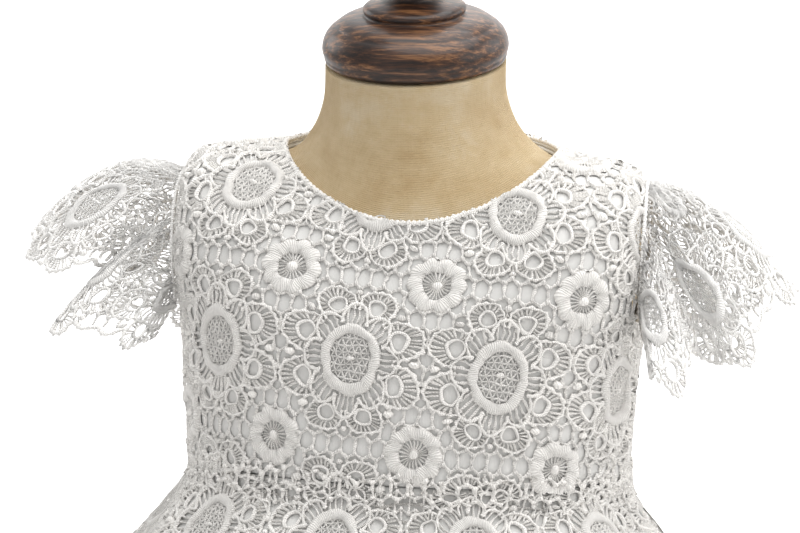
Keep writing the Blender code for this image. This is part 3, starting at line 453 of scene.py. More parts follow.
class BodicePanel:
    """A bodice panel: a net of places between two angles, from neckline to waist, and its flat cut."""

    ROWS = (3.0, 3.4, 3.9, 4.45, 5.0, 5.13, 5.55, 6.1, 6.65, 7.0, 7.6, 8.3, WAIST_ROW)

    def __init__(self, start, end, columns, start_is_side, end_is_side, straight_edge):
        self.ends = (start, end, start_is_side, end_is_side)
        rows = np.array(self.ROWS)
        low, high = self.reach(rows)
        share = np.linspace(0, 1, columns + 1)
        self.angle = (low[:, None] + (high - low)[:, None] * share).ravel()
        self.row = np.repeat(rows, columns + 1)
        index = np.arange(len(rows) * (columns + 1)).reshape(len(rows), columns + 1)
        a, b = index[:-1, :-1].ravel(), index[:-1, 1:].ravel()
        c, d = index[1:, 1:].ravel(), index[1:, :-1].ravel()
        self.faces = np.concatenate([np.stack([a, d, c], -1), np.stack([a, c, b], -1)])
        points = moved_out(form_point, self.angle, self.row, LACE_IN)
        self.index = index
        self.flat = self.upright(flat_pattern(points, self.faces), index[:, straight_edge])

    def reach(self, rows):
        """Angles of the panel's two sides at these rows."""
        start, end, start_is_side, end_is_side = self.ends
        cut_in = armhole_reach(rows)
        low = start + SEAM_HALF_ANGLE + (cut_in if start_is_side else 0 * cut_in)
        high = end - SEAM_HALF_ANGLE - (cut_in if end_is_side else 0 * cut_in)
        return low, high

    @staticmethod
    def upright(flat, column):
        """Turns the flat cut so that this column stands upright, with its foot at the middle."""
        foot, head = flat[column[-1]], flat[column[0]]
        lean = math.atan2(*(head - foot))
        turn = np.array([[math.cos(lean), -math.sin(lean)], [math.sin(lean), math.cos(lean)]])
        return (flat - foot) @ turn.T

    def edge(self):
        index = self.index
        loop = np.concatenate([index[-1, :], index[-2::-1, -1], index[0, -2::-1], index[1:-1, 0]])
        return self.flat[loop]

    def place(self, flat, distance):
        corners, share = shares_of(flat, self.flat, self.faces)
        angle, row = (self.angle[corners] * share).sum(1), (self.row[corners] * share).sum(1)
        return self.lifted(angle, row, distance)

    @staticmethod
    def lifted(angle, row, distance):
        crease = crease_height(angle, row, BODICE_CREASES, CREASE_ROW, CREASE_TURN)
        return moved_out(form_point, angle, row, distance + crease)

    def medallions(self):
        across = np.array([math.cos(LACE_TILT), math.sin(LACE_TILT)]) * REPEAT_WIDTH
        up = np.array([-math.sin(LACE_TILT), math.cos(LACE_TILT)]) * REPEAT_HEIGHT
        reach = range(-4, 5)
        places = [np.array(LACE_ORIGIN) + i * across + j * up for i in reach for j in reach]
        return np.array([(*place, LACE_TILT) for place in places])

    def daisies(self, medallions):
        middle = np.array([REPEAT_WIDTH, REPEAT_HEIGHT]) / 2
        cosine, sine = math.cos(LACE_TILT), math.sin(LACE_TILT)
        shift = np.array([cosine * middle[0] - sine * middle[1], sine * middle[0] + cosine * middle[1]])
        return medallions + np.array([*shift, 0.0])


class Sleeve:
    """A flutter sleeve: a strip sewn to the armhole's upper part, with a longer, waved free edge."""

    def __init__(self, table, side, shift):
        self.table = np.array(table, float)
        self.table[:, 1:] *= MM
        self.side = side
        self.shift = shift      # of the medallions along the free edge, in repeats
        shares = np.linspace(0, 1, 241)[::side]     # seen from outside, flat places run to the right
        edge = self.surface(shares, np.ones_like(shares))
        steps = np.linalg.norm(np.diff(edge, axis=0), axis=1)
        self.length_at = np.concatenate([[0], np.cumsum(steps)])
        self.shares = shares
        self.length = float(self.length_at[-1])
        across = np.linspace(0, 1, 13)
        grid = self.surface(shares[:, None] + 0 * across, across + 0 * shares[:, None])
        self.width_at = np.linalg.norm(np.diff(grid, axis=1), axis=2).sum(1)

    def seam(self, share):
        """The sewn edge, on the armhole, just clear of the bodice's cut edge."""
        turn = (share * 2 - 1) * SLEEVE_REACH
        middle = (ARMHOLE_TOP + ARMHOLE_BOTTOM) / 2
        half = (ARMHOLE_BOTTOM - ARMHOLE_TOP) / 2
        row = middle - half * SEAM_SHARE_DOWN * np.cos(turn)
        angle = ARMHOLE_HALF_ANGLE * SEAM_SHARE_ROUND * np.sin(turn)
        point = moved_out(form_point, angle, row, (LACE_IN + LACE_OUT) / 2 + SLEEVE_LIFT)
        return point * np.array([self.side, 1.0, 1.0])

    def surface(self, share, across):
        """Point of the sleeve: share runs along the seam and across from seam to free edge."""
        place = np.interp(share, self.table[:, 0], np.arange(len(self.table)))
        x, y, z, lift = np.moveaxis(smooth_rows(self.table[:, 1:], place), -1, 0)
        edge = np.stack([self.side * x, y, SHOULDER_Z + z], -1)
        seam = self.seam(share)
        bow = np.stack([0 * x, 0 * x, lift * 4], -1)
        w = across[..., None]
        return seam * (1 - w) + edge * w + bow * w * (1 - w)

    def width(self, along):
        return np.interp(along, self.length_at, self.width_at)

    def edge(self):
        """Flat outline, with y from the free edge up. The scallops may pass the free edge."""
        beyond = -0.006
        along = np.linspace(1, 0, 97) * self.length
        seam = np.stack([along, self.width(along)], -1)
        return np.concatenate([[[0, beyond], [self.length, beyond]], seam])

    def place(self, flat, distance):
        along = np.clip(flat[:, 0], 0, self.length)
        across = 1 - flat[:, 1] / self.width(along)
        share = np.interp(along, self.length_at, self.shares)
        return moved_out(self.surface, share, across, distance * self.side)

    def medallions(self):
        pitch = self.length / SLEEVE_MEDALLIONS
        places = (np.arange(-1, SLEEVE_MEDALLIONS + 1) + self.shift) * pitch
        low = [(along + pitch / 2, MEDALLION_REACH, 0.0) for along in places]
        return np.array(low + [(along, MEDALLION_REACH + REPEAT_HEIGHT * 0.86, 0.0) for along in places])

    def daisies(self, medallions):
        pitch = self.length / SLEEVE_MEDALLIONS
        places = (np.arange(0, SLEEVE_MEDALLIONS + 1) + self.shift) * pitch
        return np.array([(along, MEDALLION_REACH + DAISY_RISE, 0.0) for along in places])


# ---- meshes ----------------------------------------------------------------------------------

def mesh_object(name, verts, faces, finish, uvs=None):
    """An object of four-sided faces, smooth, that rides on the part's one body."""
    mesh = bpy.data.meshes.new(name)
    faces = np.asarray(faces, np.int32)
    mesh.vertices.add(len(verts))
    mesh.vertices.foreach_set("co", np.asarray(verts, np.float32).ravel())
    mesh.loops.add(faces.size)
    mesh.loops.foreach_set("vertex_index", faces.ravel())
    mesh.polygons.add(len(faces))
    mesh.polygons.foreach_set("loop_start", np.arange(0, faces.size, 4, dtype=np.int32))
    mesh.update(calc_edges=True)
    if uvs is not None:
        layer = mesh.uv_layers.new(name="UVMap")
        layer.data.foreach_set("uv", np.asarray(uvs, np.float32).ravel())
    mesh.shade_smooth()
    mesh.validate()
    made = bpy.data.objects.new(name, mesh)
    bpy.context.scene.collection.objects.link(made)
    mesh.materials.append(finish)
    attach(made, "root")
    return made


def shell(name, inner, outer, finish, uv_size=1.0):
    """A closed wall between two grids of points. Grids run to the right, seen from outside, and down."""
    rows, columns = outer.shape[:2]
    index = np.arange(rows * columns).reshape(rows, columns)
    a, b, c, d = index[:-1, :-1], index[:-1, 1:], index[1:, 1:], index[1:, :-1]
    front = np.stack([a, d, c, b], -1).reshape(-1, 4)
    rim = np.concatenate([index[0, :], index[1:, -1], index[-1, -2::-1], index[-2:0:-1, 0]])
    after = np.roll(rim, -1)
    size = rows * columns
    back = front[:, ::-1] + size
    walls = np.stack([rim, after, after + size, rim + size], -1)
    faces = np.concatenate([front, back, walls])
    across_steps = np.linalg.norm(np.diff(outer, axis=1), axis=2)
    along = np.concatenate([np.zeros((rows, 1)), np.cumsum(across_steps, 1)], 1)
    along = np.repeat(along[rows // 2][None, :], rows, 0)
    down_steps = np.linalg.norm(np.diff(outer, axis=0), axis=2)
    down = np.concatenate([np.zeros((1, columns)), np.cumsum(down_steps, 0)], 0)
    uv = np.stack([along, down], -1).reshape(-1, 2) / uv_size
    uvs = np.concatenate([uv, uv])[faces.ravel()]
    points = np.concatenate([outer.reshape(-1, 3), inner.reshape(-1, 3)])
    return mesh_object(name, points, faces, finish, uvs)


def turned(name, profile, segments, finish, slot, matrix=Matrix.Identity(4)):
    """A turned solid. Profile rows are (radius, height) in metres, from the bottom's middle to the top's."""
    profile = np.array(profile, float)
    profile[:, 0] = np.maximum(profile[:, 0], 1e-5)
    angle = np.arange(segments) * 2 * math.pi / segments
    radius, height = profile[:, 0, None], profile[:, 1, None]
    points = np.stack([radius * np.cos(angle), radius * np.sin(angle), height + 0 * angle], -1)
    index = np.arange(len(profile) * segments).reshape(len(profile), segments)
    after = np.roll(index, -1, 1)
    faces = np.stack([index[:-1], after[:-1], after[1:], index[1:]], -1).reshape(-1, 4)
    turn = np.arange(segments + 1) * math.pi * 2 * 0.035 / segments
    length = np.concatenate([[0], np.cumsum(np.linalg.norm(np.diff(profile, axis=0), axis=1))])
    low = np.stack(np.meshgrid(turn[:-1], length[:-1]), -1)
    right = np.stack(np.meshgrid(turn[1:], length[:-1]), -1)
    far = np.stack(np.meshgrid(turn[1:], length[1:]), -1)
    up = np.stack(np.meshgrid(turn[:-1], length[1:]), -1)
    uvs = np.stack([low, right, far, up], -2).reshape(-1, 2)
    points = points.reshape(-1, 3) @ np.array(matrix.to_3x3()).T + np.array(matrix.translation)
    return mesh_object(name, points, faces, finish, uvs)


# ---- threads ---------------------------------------------------------------------------------

THIN = ((-1.0, 0.0), (0.0, 1.0), (1.0, 0.0))
CORD = ((-1.0, 0.0), (-0.6, 0.8), (0.6, 0.8), (1.0, 0.0))
PAD = ((-1.0, 0.0), (-0.88, 0.5), (-0.5, 0.88), (0.0, 1.0), (0.5, 0.88), (0.88, 0.5), (1.0, 0.0))


PAD_MARK = 10.0     # added to the places across padded stitches, by which their material knows them and gives them painted shade


class Threads:
    """Threads on a flat cut: points as x, y and height, four-sided faces, and places along and across."""

    def __init__(self, under=False):
        self.under = under      # whether each thread also has an underside
        self.points, self.faces, self.uvs, self.count = [], [], [], 0

    def add(self, points, faces, uvs):
        self.points.append(points)
        self.faces.append(faces + self.count)
        self.uvs.append(uvs)
        self.count += len(points)

    def strands(self, lines, half_width, height, section=THIN, closed=False, lift=0.0):
        """Strands of equal point counts. lines is (strands, points, 2), in metres."""
        lines = np.asarray(lines, float)
        count, points = lines.shape[:2]
        if closed:
            forward = np.roll(lines, -1, 1) - np.roll(lines, 1, 1)
            steps = np.linalg.norm(np.roll(lines, -1, 1) - lines, axis=2)
        else:
            forward = np.gradient(lines, axis=1)
            steps = np.linalg.norm(np.diff(lines, axis=1), axis=2)
        along = np.concatenate([np.zeros((count, 1)), np.cumsum(steps, 1)], 1) / MM
        left = unit(np.stack([-forward[..., 1], forward[..., 0]], -1))
        across, rise = np.array(section).T
        half_width = np.broadcast_to(half_width, (count, points))[..., None]
        height = np.broadcast_to(height, (count, points))[..., None]
        flat = lines[:, :, None, :] + left[:, :, None, :] * (across * half_width)[..., None]
        places = np.concatenate([flat, (lift + rise * height)[..., None]], -1).reshape(-1, 3)

        size = len(section)
        segments = points if closed else points - 1
        index = np.arange(count * points * size).reshape(count, points, size)
        here = index[:, :segments]
        there = np.roll(index, -1, 1)[:, :segments]
        low, high = slice(0, size - 1), slice(1, size)
        sides = np.stack([here[..., low], there[..., low], there[..., high], here[..., high]], -1)
        faces = [sides.reshape(-1, 4)]
        u_here = np.broadcast_to(along[:, :segments, None], (count, segments, size - 1))
        u_there = np.broadcast_to(along[:, 1:segments + 1, None], (count, segments, size - 1))
        mark = PAD_MARK if section is PAD else 0.0
        v_low = np.broadcast_to(across[:-1] + mark, u_here.shape)
        v_high = np.broadcast_to(across[1:] + mark, u_here.shape)
        uvs = [np.stack([
            np.stack([u_here, v_low], -1), np.stack([u_there, v_low], -1),
            np.stack([u_there, v_high], -1), np.stack([u_here, v_high], -1),
        ], -2).reshape(-1, 4, 2)]
        if self.under:
            under = np.stack([here[..., -1], there[..., -1], there[..., 0], here[..., 0]], -1)
            faces.append(under.reshape(-1, 4))
            uvs.append(np.stack([
                np.stack([along[:, :segments], np.ones((count, segments))], -1),
                np.stack([along[:, 1:segments + 1], np.ones((count, segments))], -1),
                np.stack([along[:, 1:segments + 1], -np.ones((count, segments))], -1),
                np.stack([along[:, :segments], -np.ones((count, segments))], -1),
            ], -2).reshape(-1, 4, 2))
        self.add(places, np.concatenate(faces), np.concatenate(uvs))

    def knots(self, middles, radius, height, sides=8, stretch=1.0):
        """Small domes. middles is (knots, 2)."""
        middles = np.asarray(middles, float)
        turn = np.arange(sides) * 2 * math.pi / sides
        ring = np.stack([np.cos(turn) * stretch, np.sin(turn)], -1) * radius
        low = np.concatenate([middles[:, None] + ring, np.zeros((len(middles), sides, 1))], -1)
        high = np.concatenate([middles[:, None] + ring * 0.6, np.full((len(middles), sides, 1), height)], -1)
        points = np.concatenate([low, high], 1)
        base = (np.arange(len(middles)) * sides * 2)[:, None, None]
        n = np.arange(sides)
        m = (n + 1) % sides
        rim = np.stack([n, m, m + sides, n + sides], -1)
        top = np.array([(0, k, k + 1, k + 2) for k in range(1, sides - 2, 2)]) + sides
        faces = (base + np.concatenate([rim, top])).reshape(-1, 4)
        points = points.reshape(-1, 3)
        self.add(points, faces, points[faces][..., :2] / MM)

    def arrays(self):
        return np.concatenate(self.points), np.concatenate(self.faces), np.concatenate(self.uvs)


def repeated(motif, middles):
    """A motif's arrays, copied to each middle and turned by its lean. middles is (copies, x, y, lean)."""
    points, faces, uvs = motif
    cosine, sine = np.cos(middles[:, 2])[:, None], np.sin(middles[:, 2])[:, None]
    x = middles[:, 0, None] + cosine * points[:, 0] - sine * points[:, 1]
    y = middles[:, 1, None] + sine * points[:, 0] + cosine * points[:, 1]
    z = np.broadcast_to(points[:, 2], x.shape)
    copies = np.stack([x, y, z], -1).reshape(-1, 3)
    shift = (np.arange(len(middles)) * len(points))[:, None, None]
    return copies, (faces[None] + shift).reshape(-1, 4), np.tile(uvs, (len(middles), 1, 1))


def inside_loop(points, loop, chunk=40000):
    """Which points lie inside a closed loop of flat places."""
    ax, ay = loop[:, 0], loop[:, 1]
    bx, by = np.roll(loop, -1, 0).T
    rise = np.where(by == ay, 1.0, by - ay)
    found = []
    for start in range(0, len(points), chunk):
        x, y = points[start:start + chunk, 0, None], points[start:start + chunk, 1, None]
        crosses = (ay > y) != (by > y)
        found.append(((crosses & (x < ax + (y - ay) * (bx - ax) / rise)).sum(1) % 2).astype(bool))
    return np.concatenate(found)


# ---- the lace's motifs -----------------------------------------------------------------------

EYELETS = 8
EYELET_TURN = math.pi / EYELETS         # from an arch to the next eyelet
NET_RADIUS = 8.6 * MM
RING_MIDDLE, RING_HALF = 10.7 * MM, 2.1 * MM
ARCH_FOOT, ARCH_RISE, ARCH_HALF = 12.2 * MM, 7.9 * MM, 5.6 * MM
EYELET_RING = 20.8 * MM
EYELET_ACROSS, EYELET_OUT = 3.55 * MM, 3.0 * MM     # half sizes of an eyelet's corded rim
FAN_INNER, FAN_OUTER = 1.2, 7.1 * MM    # of a rim's size, and of the fan's edge from the eyelet
KNOT_RING = 24.6 * MM
NARROWED, LENGTHENED = 0.86, 1.04       # how the lace's motifs are drawn in across and out along it
DAISY_MIDDLE, DAISY_HALF = 8.0 * MM, 2.8 * MM
PETALS = 10
DAISY_CLEAR = 36.5 * MM                 # from a daisy to the nearest medallions, in the skirt
DAISY_RISE = 35 * MM                    # of the sleeves' daisies above their medallions


def turned_lines(lines, turns):
    """A set of lines, copied and turned about the middle. lines is (strands, points, 2)."""
    cosine, sine = np.cos(turns)[:, None, None], np.sin(turns)[:, None, None]
    x = cosine * lines[..., 0] - sine * lines[..., 1]
    y = sine * lines[..., 0] + cosine * lines[..., 1]
    return np.stack([x, y], -1).reshape(-1, lines.shape[1], 2)


def beads(points, size=0.2):
    """Half widths, as shares, of a cord that is wound with thread: wide and narrow by turns."""
    return 1 + size * np.cos(np.arange(points) * math.pi)


def drawn_in(threads):
    """A medallion's arrays, narrowed and lengthened within its eyelets; the fans' edges stay in place."""
    points, faces, uvs = threads.arrays()
    free = np.clip((np.hypot(points[:, 0], points[:, 1]) - EYELET_RING) / FAN_OUTER, 0, 1)
    free = free * free * (3 - 2 * free)
    points[:, 0] *= NARROWED + (1 - NARROWED) * free
    points[:, 1] *= LENGTHENED + (1 - LENGTHENED) * free
    return points, faces, uvs


def medallion(detail, under=False):
    """A net in a padded ring, arches round it, and eyelets with fans between the arches."""
    threads = Threads(under)
    around = np.arange(EYELETS) * 2 * math.pi / EYELETS

    rows = np.linspace(-0.84, 0.84, 7) * NET_RADIUS
    reach = np.sqrt(NET_RADIUS**2 - rows**2)
    share = np.linspace(-1, 1, 2 + 3 * detail)
    wave = 0.10 * MM * np.sin(share * 9 + rows[:, None] * 900)
    net = np.stack([reach[:, None] * share, rows[:, None] + wave], -1)
    for turn, lift in ((0, 0.15), (math.pi / 3, 0.0), (-math.pi / 3, 0.05)):
        threads.strands(turned_lines(net, np.array([turn])), 0.30 * MM, 0.6 * MM, lift=lift * MM)
    threads.knots([(0, 0.2 * MM)], 1.1 * MM, 0.9 * MM, stretch=1.9)

    turn = np.linspace(0, 2 * math.pi, 28 * detail, endpoint=False)
    lobes = np.cos(EYELETS * turn)
    radius = RING_MIDDLE + 0.10 * MM * lobes
    ring = radius[:, None] * np.stack([np.cos(turn), np.sin(turn)], -1)
    threads.strands([ring], RING_HALF + 0.14 * MM * lobes, 1.55 * MM, PAD, closed=True)

    points = 9 * detail
    swing = np.linspace(0, math.pi, points)
    out = ARCH_FOOT + ARCH_RISE * np.sin(swing) ** 0.8
    arch = np.stack([out, ARCH_HALF * np.cos(swing) * (1 - 0.12 * np.sin(swing) ** 4)], -1)
    half_width = 0.68 * MM * beads(points, 0.3)
    threads.strands(turned_lines(arch[None], around), half_width, 1.25 * MM, CORD, lift=0.1 * MM)
    share = np.linspace(0, 1, 1 + 2 * detail)
    bars = []
    for side, rise in ((-1, 0.66), (-0.36, 0.93), (0.30, 0.95), (1, 0.70)):
        foot = np.array([ARCH_FOOT - 0.4 * MM, side * 3.0 * MM])
        head = np.array([ARCH_FOOT + ARCH_RISE * rise, side * 3.9 * MM])
        line = foot + (head - foot) * share[:, None]
        line[:, 1] += 0.22 * MM * np.sin(share * 11 + side)
        bars.append(line)
    threads.strands(turned_lines(np.array(bars), around), 0.48 * MM * beads(len(share), 0.2), 0.95 * MM)

    between = around + EYELET_TURN
    points = 8 * detail + 4
    turn = np.linspace(0, 2 * math.pi, points, endpoint=False)
    rim = np.stack([EYELET_OUT * np.cos(turn), EYELET_ACROSS * np.sin(turn)], -1)
    rims = turned_lines((rim + (EYELET_RING, 0))[None], between)
    threads.strands(rims, 0.55 * MM, 1.2 * MM, CORD, closed=True, lift=0.1 * MM)
    spread = np.radians(np.linspace(-118, 118, 15) + 2.5 * np.sin(np.arange(15) * 2.6))
    way = np.stack([np.cos(spread), np.sin(spread)], -1)
    foot = way * np.array([EYELET_OUT, EYELET_ACROSS]) * FAN_INNER
    head = way * (FAN_OUTER - 0.3 * MM)
    share = np.linspace(0, 1, 1 + detail)[None, :, None]
    fan = foot[:, None] + (head - foot)[:, None] * share + np.array([EYELET_RING, 0])
    half_width = np.linspace(0.33, 0.54, 1 + detail) * MM
    threads.strands(turned_lines(fan, between), half_width, 1.05 * MM, lift=0.05 * MM)
    points = 12 * detail + 1
    spread = np.radians(np.linspace(-124, 124, points))
    picot = FAN_OUTER + 0.22 * MM * np.cos(np.arange(points) * math.pi)
    edge = picot[:, None] * np.stack([np.cos(spread), np.sin(spread)], -1) + np.array([EYELET_RING, 0])
    half_width = 0.62 * MM * beads(points, 0.3)
    threads.strands(turned_lines(edge[None], between), half_width, 1.2 * MM, CORD, lift=0.1 * MM)
    knot = np.stack([np.cos(around), np.sin(around)], -1) * KNOT_RING
    threads.knots(knot, 1.5 * MM, 1.4 * MM, sides=6)
    return drawn_in(threads)


def daisy(detail, under=False):
    """A disc, fine spokes and a padded ring of petals."""
    threads = Threads(under)
    threads.knots([(0, 0)], 2.1 * MM, 1.2 * MM, sides=12)
    turn = np.arange(22) * 2 * math.pi / 22
    reach = np.linspace(1.7, 5.6, 1 + detail) * MM
    spokes = reach[None, :, None] * np.stack([np.cos(turn), np.sin(turn)], -1)[:, None]
    threads.strands(spokes, 0.28 * MM, 0.7 * MM)
    turn = np.linspace(0, 2 * math.pi, 30 * detail, endpoint=False)
    lobes = np.cos(PETALS * turn)
    radius = DAISY_MIDDLE + 0.22 * MM * lobes
    ring = radius[:, None] * np.stack([np.cos(turn), np.sin(turn)], -1)
    threads.strands([ring], DAISY_HALF + 0.24 * MM * lobes, 1.45 * MM + 0.22 * MM * lobes, PAD, closed=True)
    return threads.arrays()


BAR_PITCH, BAR_ROWS = 5.4 * MM, 7.0 * MM    # of the ground's tall holes, across and up
SKIRT_GROUND = 74, 48       # holes of half a skirt's ground each way, across at the hem and up
BAR_ZIGZAG = 0.9 * MM
BAR_HALF, BAR_HEIGHT = 0.56 * MM, 1.0 * MM


def ground(place, across, up, detail, under=False):
    """Tall six-sided holes between twisted bars. place(column, row, side) gives the flat place of a corner,
    low for side -1 and high for side 1. across and up are how many holes lie each way from the middle."""
    threads = Threads(under)
    column, row = np.meshgrid(np.arange(-across, across), np.arange(-up, up))
    column, row = column.ravel(), row.ravel()
    half = 0.5 * (row % 2)
    low = place(column + half, row, -1)
    high = place(column + half + 0.5, row, 1)
    after = place(column + half + 1, row, -1)
    above = place(column + half + 0.5, row + 1, -1)
    share = np.linspace(0, 1, 2 + detail)[None, :, None]
    for a, b in ((low, high), (high, after), (high, above)):
        line = a[:, None] + (b - a)[:, None] * share
        threads.strands(line, BAR_HALF * beads(line.shape[1], 0.3), BAR_HEIGHT)
    threads.knots(np.concatenate([low, high]), 1.05 * MM, 1.25 * MM, sides=6)
    return threads.arrays()


def in_motifs(points, medallions, daisies, chunk=20000):
    """Which flat places lie under a medallion, out to its fans' edges, or under a daisy."""
    found = []
    for start in range(0, len(points), chunk):
        part = points[start:start + chunk]
        away = part[:, None, :] - medallions[None, :, :2]
        nearest = np.hypot(away[..., 0], away[..., 1]).argmin(1)
        pick = np.arange(len(part))
        x, y = away[pick, nearest].T
        radius = np.hypot(x, y)
        turn = np.arctan2(y, x) - medallions[nearest, 2]
        fold = np.mod(turn, 2 * EYELET_TURN) - EYELET_TURN
        fan = np.hypot(radius * np.cos(fold) - EYELET_RING, radius * np.sin(fold)) < FAN_OUTER
        inside = fan | (radius < EYELET_RING + 2 * MM)
        if len(daisies):
            away = part[:, None, :] - daisies[None, :, :2]
            inside |= np.hypot(away[..., 0], away[..., 1]).min(1) < DAISY_MIDDLE + DAISY_HALF - 0.4 * MM
        found.append(inside)
    return np.concatenate(found)


LACE_UNDER = 2.1 * MM       # the lace's underside, out from the form


def uneven(points):
    """Flat points and heights of threads, pulled about a little, as stitched lace is."""
    x, y, z = points.T / MM
    shift_x = 0.30 * np.sin(y / 2.3 + 1.7 * np.sin(x / 5.1)) + 0.22 * np.sin(x / 1.3 + y / 0.9)
    shift_y = 0.30 * np.sin(x / 2.7 + 1.9 * np.sin(y / 4.3)) + 0.22 * np.sin(y / 1.1 - x / 1.7)
    swell = 1 + 0.10 * np.sin(x / 1.9 + 2.0 * np.sin(y / 3.1)) + 0.08 * np.sin(x / 0.6 + y / 0.7)
    return np.stack([x + shift_x, y + shift_y, z * swell], -1) * MM


def lay_lace(name, cut, layers, edge, finish, distance):
    """One mesh of flat layers of threads, cut off at a panel's edge and laid at this distance."""
    points = np.concatenate([layer[0] for layer in layers])
    starts = np.cumsum([0] + [len(layer[0]) for layer in layers[:-1]])
    faces = np.concatenate([layer[1] + start for layer, start in zip(layers, starts)])
    uvs = np.concatenate([layer[2] for layer in layers])
    inside = inside_loop(points[:, :2], edge)
    whole = inside[faces].all(1)
    faces, uvs = faces[whole], uvs[whole]
    used = np.unique(faces)
    renumber = np.zeros(len(points), int)
    renumber[used] = np.arange(len(used))
    points, faces = uneven(points[used]), renumber[faces]
    placed = cut.place(points[:, :2], distance + points[:, 2])
    made = mesh_object(name, placed, faces, finish, uvs)
    print(name, "triangles", 2 * len(faces))
    return made


def near(middles, edge, reach=30 * MM):
    """The motifs that can touch a panel."""
    low, high = edge.min(0) - reach, edge.max(0) + reach
    return middles[((middles[:, :2] > low) & (middles[:, :2] < high)).all(1)]


def grown(loop, distance):
    """A closed outline, moved outwards."""
    forward = unit(np.roll(loop, -1, 0) - np.roll(loop, 1, 0))
    x, y = loop.T
    way_round = np.sign((x * np.roll(y, -1) - y * np.roll(x, -1)).sum())
    out = np.stack([forward[:, 1], -forward[:, 0]], -1) * way_round
    return loop + out * np.reshape(distance, (-1, 1))


def edge_cord(line, under=False):
    """A beaded cord along a ground's free edge."""
    threads = Threads(under)
    half_width = 0.75 * MM * beads(len(line), 0.25)
    threads.strands(np.asarray(line)[None], half_width, 1.2 * MM, CORD, lift=0.05 * MM)
    return threads.arrays()


def within(layer, outline):
    """A layer of threads, cut off at an outline of its own."""
    points, faces, uvs = layer
    inside = inside_loop(points[:, :2], outline)
    shown = inside[faces].all(1)
    return points, faces[shown], uvs[shown]


def outside_motifs(layer, medallions, daisies):
    """A layer of threads without the faces that lie wholly under the motifs."""
    points, faces, uvs = layer
    hidden = in_motifs(points[:, :2], medallions, daisies)
    shown = ~hidden[faces].all(1)
    return points, faces[shown], uvs[shown]


# ---- materials -------------------------------------------------------------------------------

class Look:
    """A material's node tree, built a node at a time."""

    def __init__(self, name, colour, roughness, **values):
        self.material = bpy.data.materials.new(name)
        self.material.use_nodes = True
        self.tree = self.material.node_tree
        self.shader = self.tree.nodes["Principled BSDF"]
        self.shader.inputs["Base Color"].default_value = (*colour, 1)
        self.shader.inputs["Roughness"].default_value = roughness
        for key, value in values.items():
            self.shader.inputs[key.replace("_", " ")].default_value = value

    def node(self, kind, links=(), **settings):
        """A new node. links are (input, output socket or value); settings are the node's own."""
        made = self.tree.nodes.new(kind)
        for key, value in settings.items():
            setattr(made, key, value)
        for name, source in dict(links).items():
            if isinstance(source, bpy.types.NodeSocket):
                self.tree.links.new(source, made.inputs[name])
            else:
                made.inputs[name].default_value = source
        return made

    def object_places(self):
        return self.node("ShaderNodeTexCoord").outputs["Object"]

    def flat_places(self):
        return self.node("ShaderNodeTexCoord").outputs["UV"]

    def noise(self, places, scale, detail=3.0, roughness=0.5, distortion=0.0):
        links = {
            "Vector": places, "Scale": scale, "Detail": detail,
            "Roughness": roughness, "Distortion": distortion,
        }
        return self.node("ShaderNodeTexNoise", links).outputs["Fac"]

    def bands(self, places, pitch, direction, distortion=0.0, detail_scale=1.0):
        """Soft stripes, this far apart in the places' own unit."""
        links = {"Vector": places, "Scale": math.pi / (10 * pitch), "Distortion": distortion,
                 "Detail": 1.0, "Detail Scale": detail_scale}
        return self.node("ShaderNodeTexWave", links, bands_direction=direction).outputs["Fac"]

    def math(self, operation, a, b):
        return self.node("ShaderNodeMath", {0: a, 1: b}, operation=operation).outputs[0]

    def stretched(self, places, scale):
        return self.node("ShaderNodeVectorMath", {0: places, 1: scale}, operation="MULTIPLY").outputs[0]

    def ramp(self, factor, *stops):
        """A colour ramp. Stops are (place, red, green, blue)."""
        made = self.node("ShaderNodeValToRGB", {"Fac": factor})
        elements = made.color_ramp.elements
        while len(elements) < len(stops):
            elements.new(0.5)
        for element, (place, *colour) in zip(elements, stops):
            element.position = place
            element.color = (*colour, 1)
        return made.outputs["Color"]

    def mix(self, factor, a, b, blend="MIX"):
        made = self.node("ShaderNodeMix", data_type="RGBA", blend_type=blend)
        for socket, source in ((0, factor), (6, a), (7, b)):
            if isinstance(source, bpy.types.NodeSocket):
                self.tree.links.new(source, made.inputs[socket])
            else:
                made.inputs[socket].default_value = source
        return made.outputs[2]

    def colour(self, socket):
        self.tree.links.new(socket, self.shader.inputs["Base Color"])

    def bump(self, height, distance, strength=1.0):
        links = {"Height": height, "Distance": distance, "Strength": strength}
        before = self.shader.inputs["Normal"].links
        if before:
            links["Normal"] = before[0].from_socket
        made = self.node("ShaderNodeBump", links)
        self.tree.links.new(made.outputs["Normal"], self.shader.inputs["Normal"])


def thread_look(name, colour, shade):
    """White cotton thread, wound across each strand, with painted shade in the grooves between windings."""
    look = Look(name, colour, 0.82, Sheen_Weight=0.25, Sheen_Roughness=0.5, Specular_IOR_Level=0.3)
    flat = look.flat_places()
    slanted = look.node("ShaderNodeVectorMath", {0: flat, 1: (1.0, 0.35, 0.0)}, operation="DOT_PRODUCT")
    along = look.node("ShaderNodeCombineXYZ", {"X": slanted.outputs["Value"]}).outputs[0]
    wound = look.bands(along, 0.75, "X", distortion=0.6)
    fuzz = look.noise(look.object_places(), 2200.0, detail=2.0)
    across = look.node("ShaderNodeSeparateXYZ", {"Vector": flat}).outputs["Y"]
    padded = look.math("GREATER_THAN", across, PAD_MARK / 2)
    # the shade colour, in the bands between windings, is painted shade in the thread's grooves
    white = look.mix(wound, (*shade, 1), (*colour, 1))
    # padded stitches get a darker copy of the thread's colours: painted shade, so that they catch no more
    # light than the thin threads
    padded_painted_shade = look.mix(wound, (*[value * 0.78 for value in shade], 1), (*[value * 0.86 for value in colour], 1))
    look.colour(look.mix(padded, white, padded_painted_shade))
    look.bump(wound, 0.00022)
    look.bump(fuzz, 0.00010, 0.6)
    return look.material


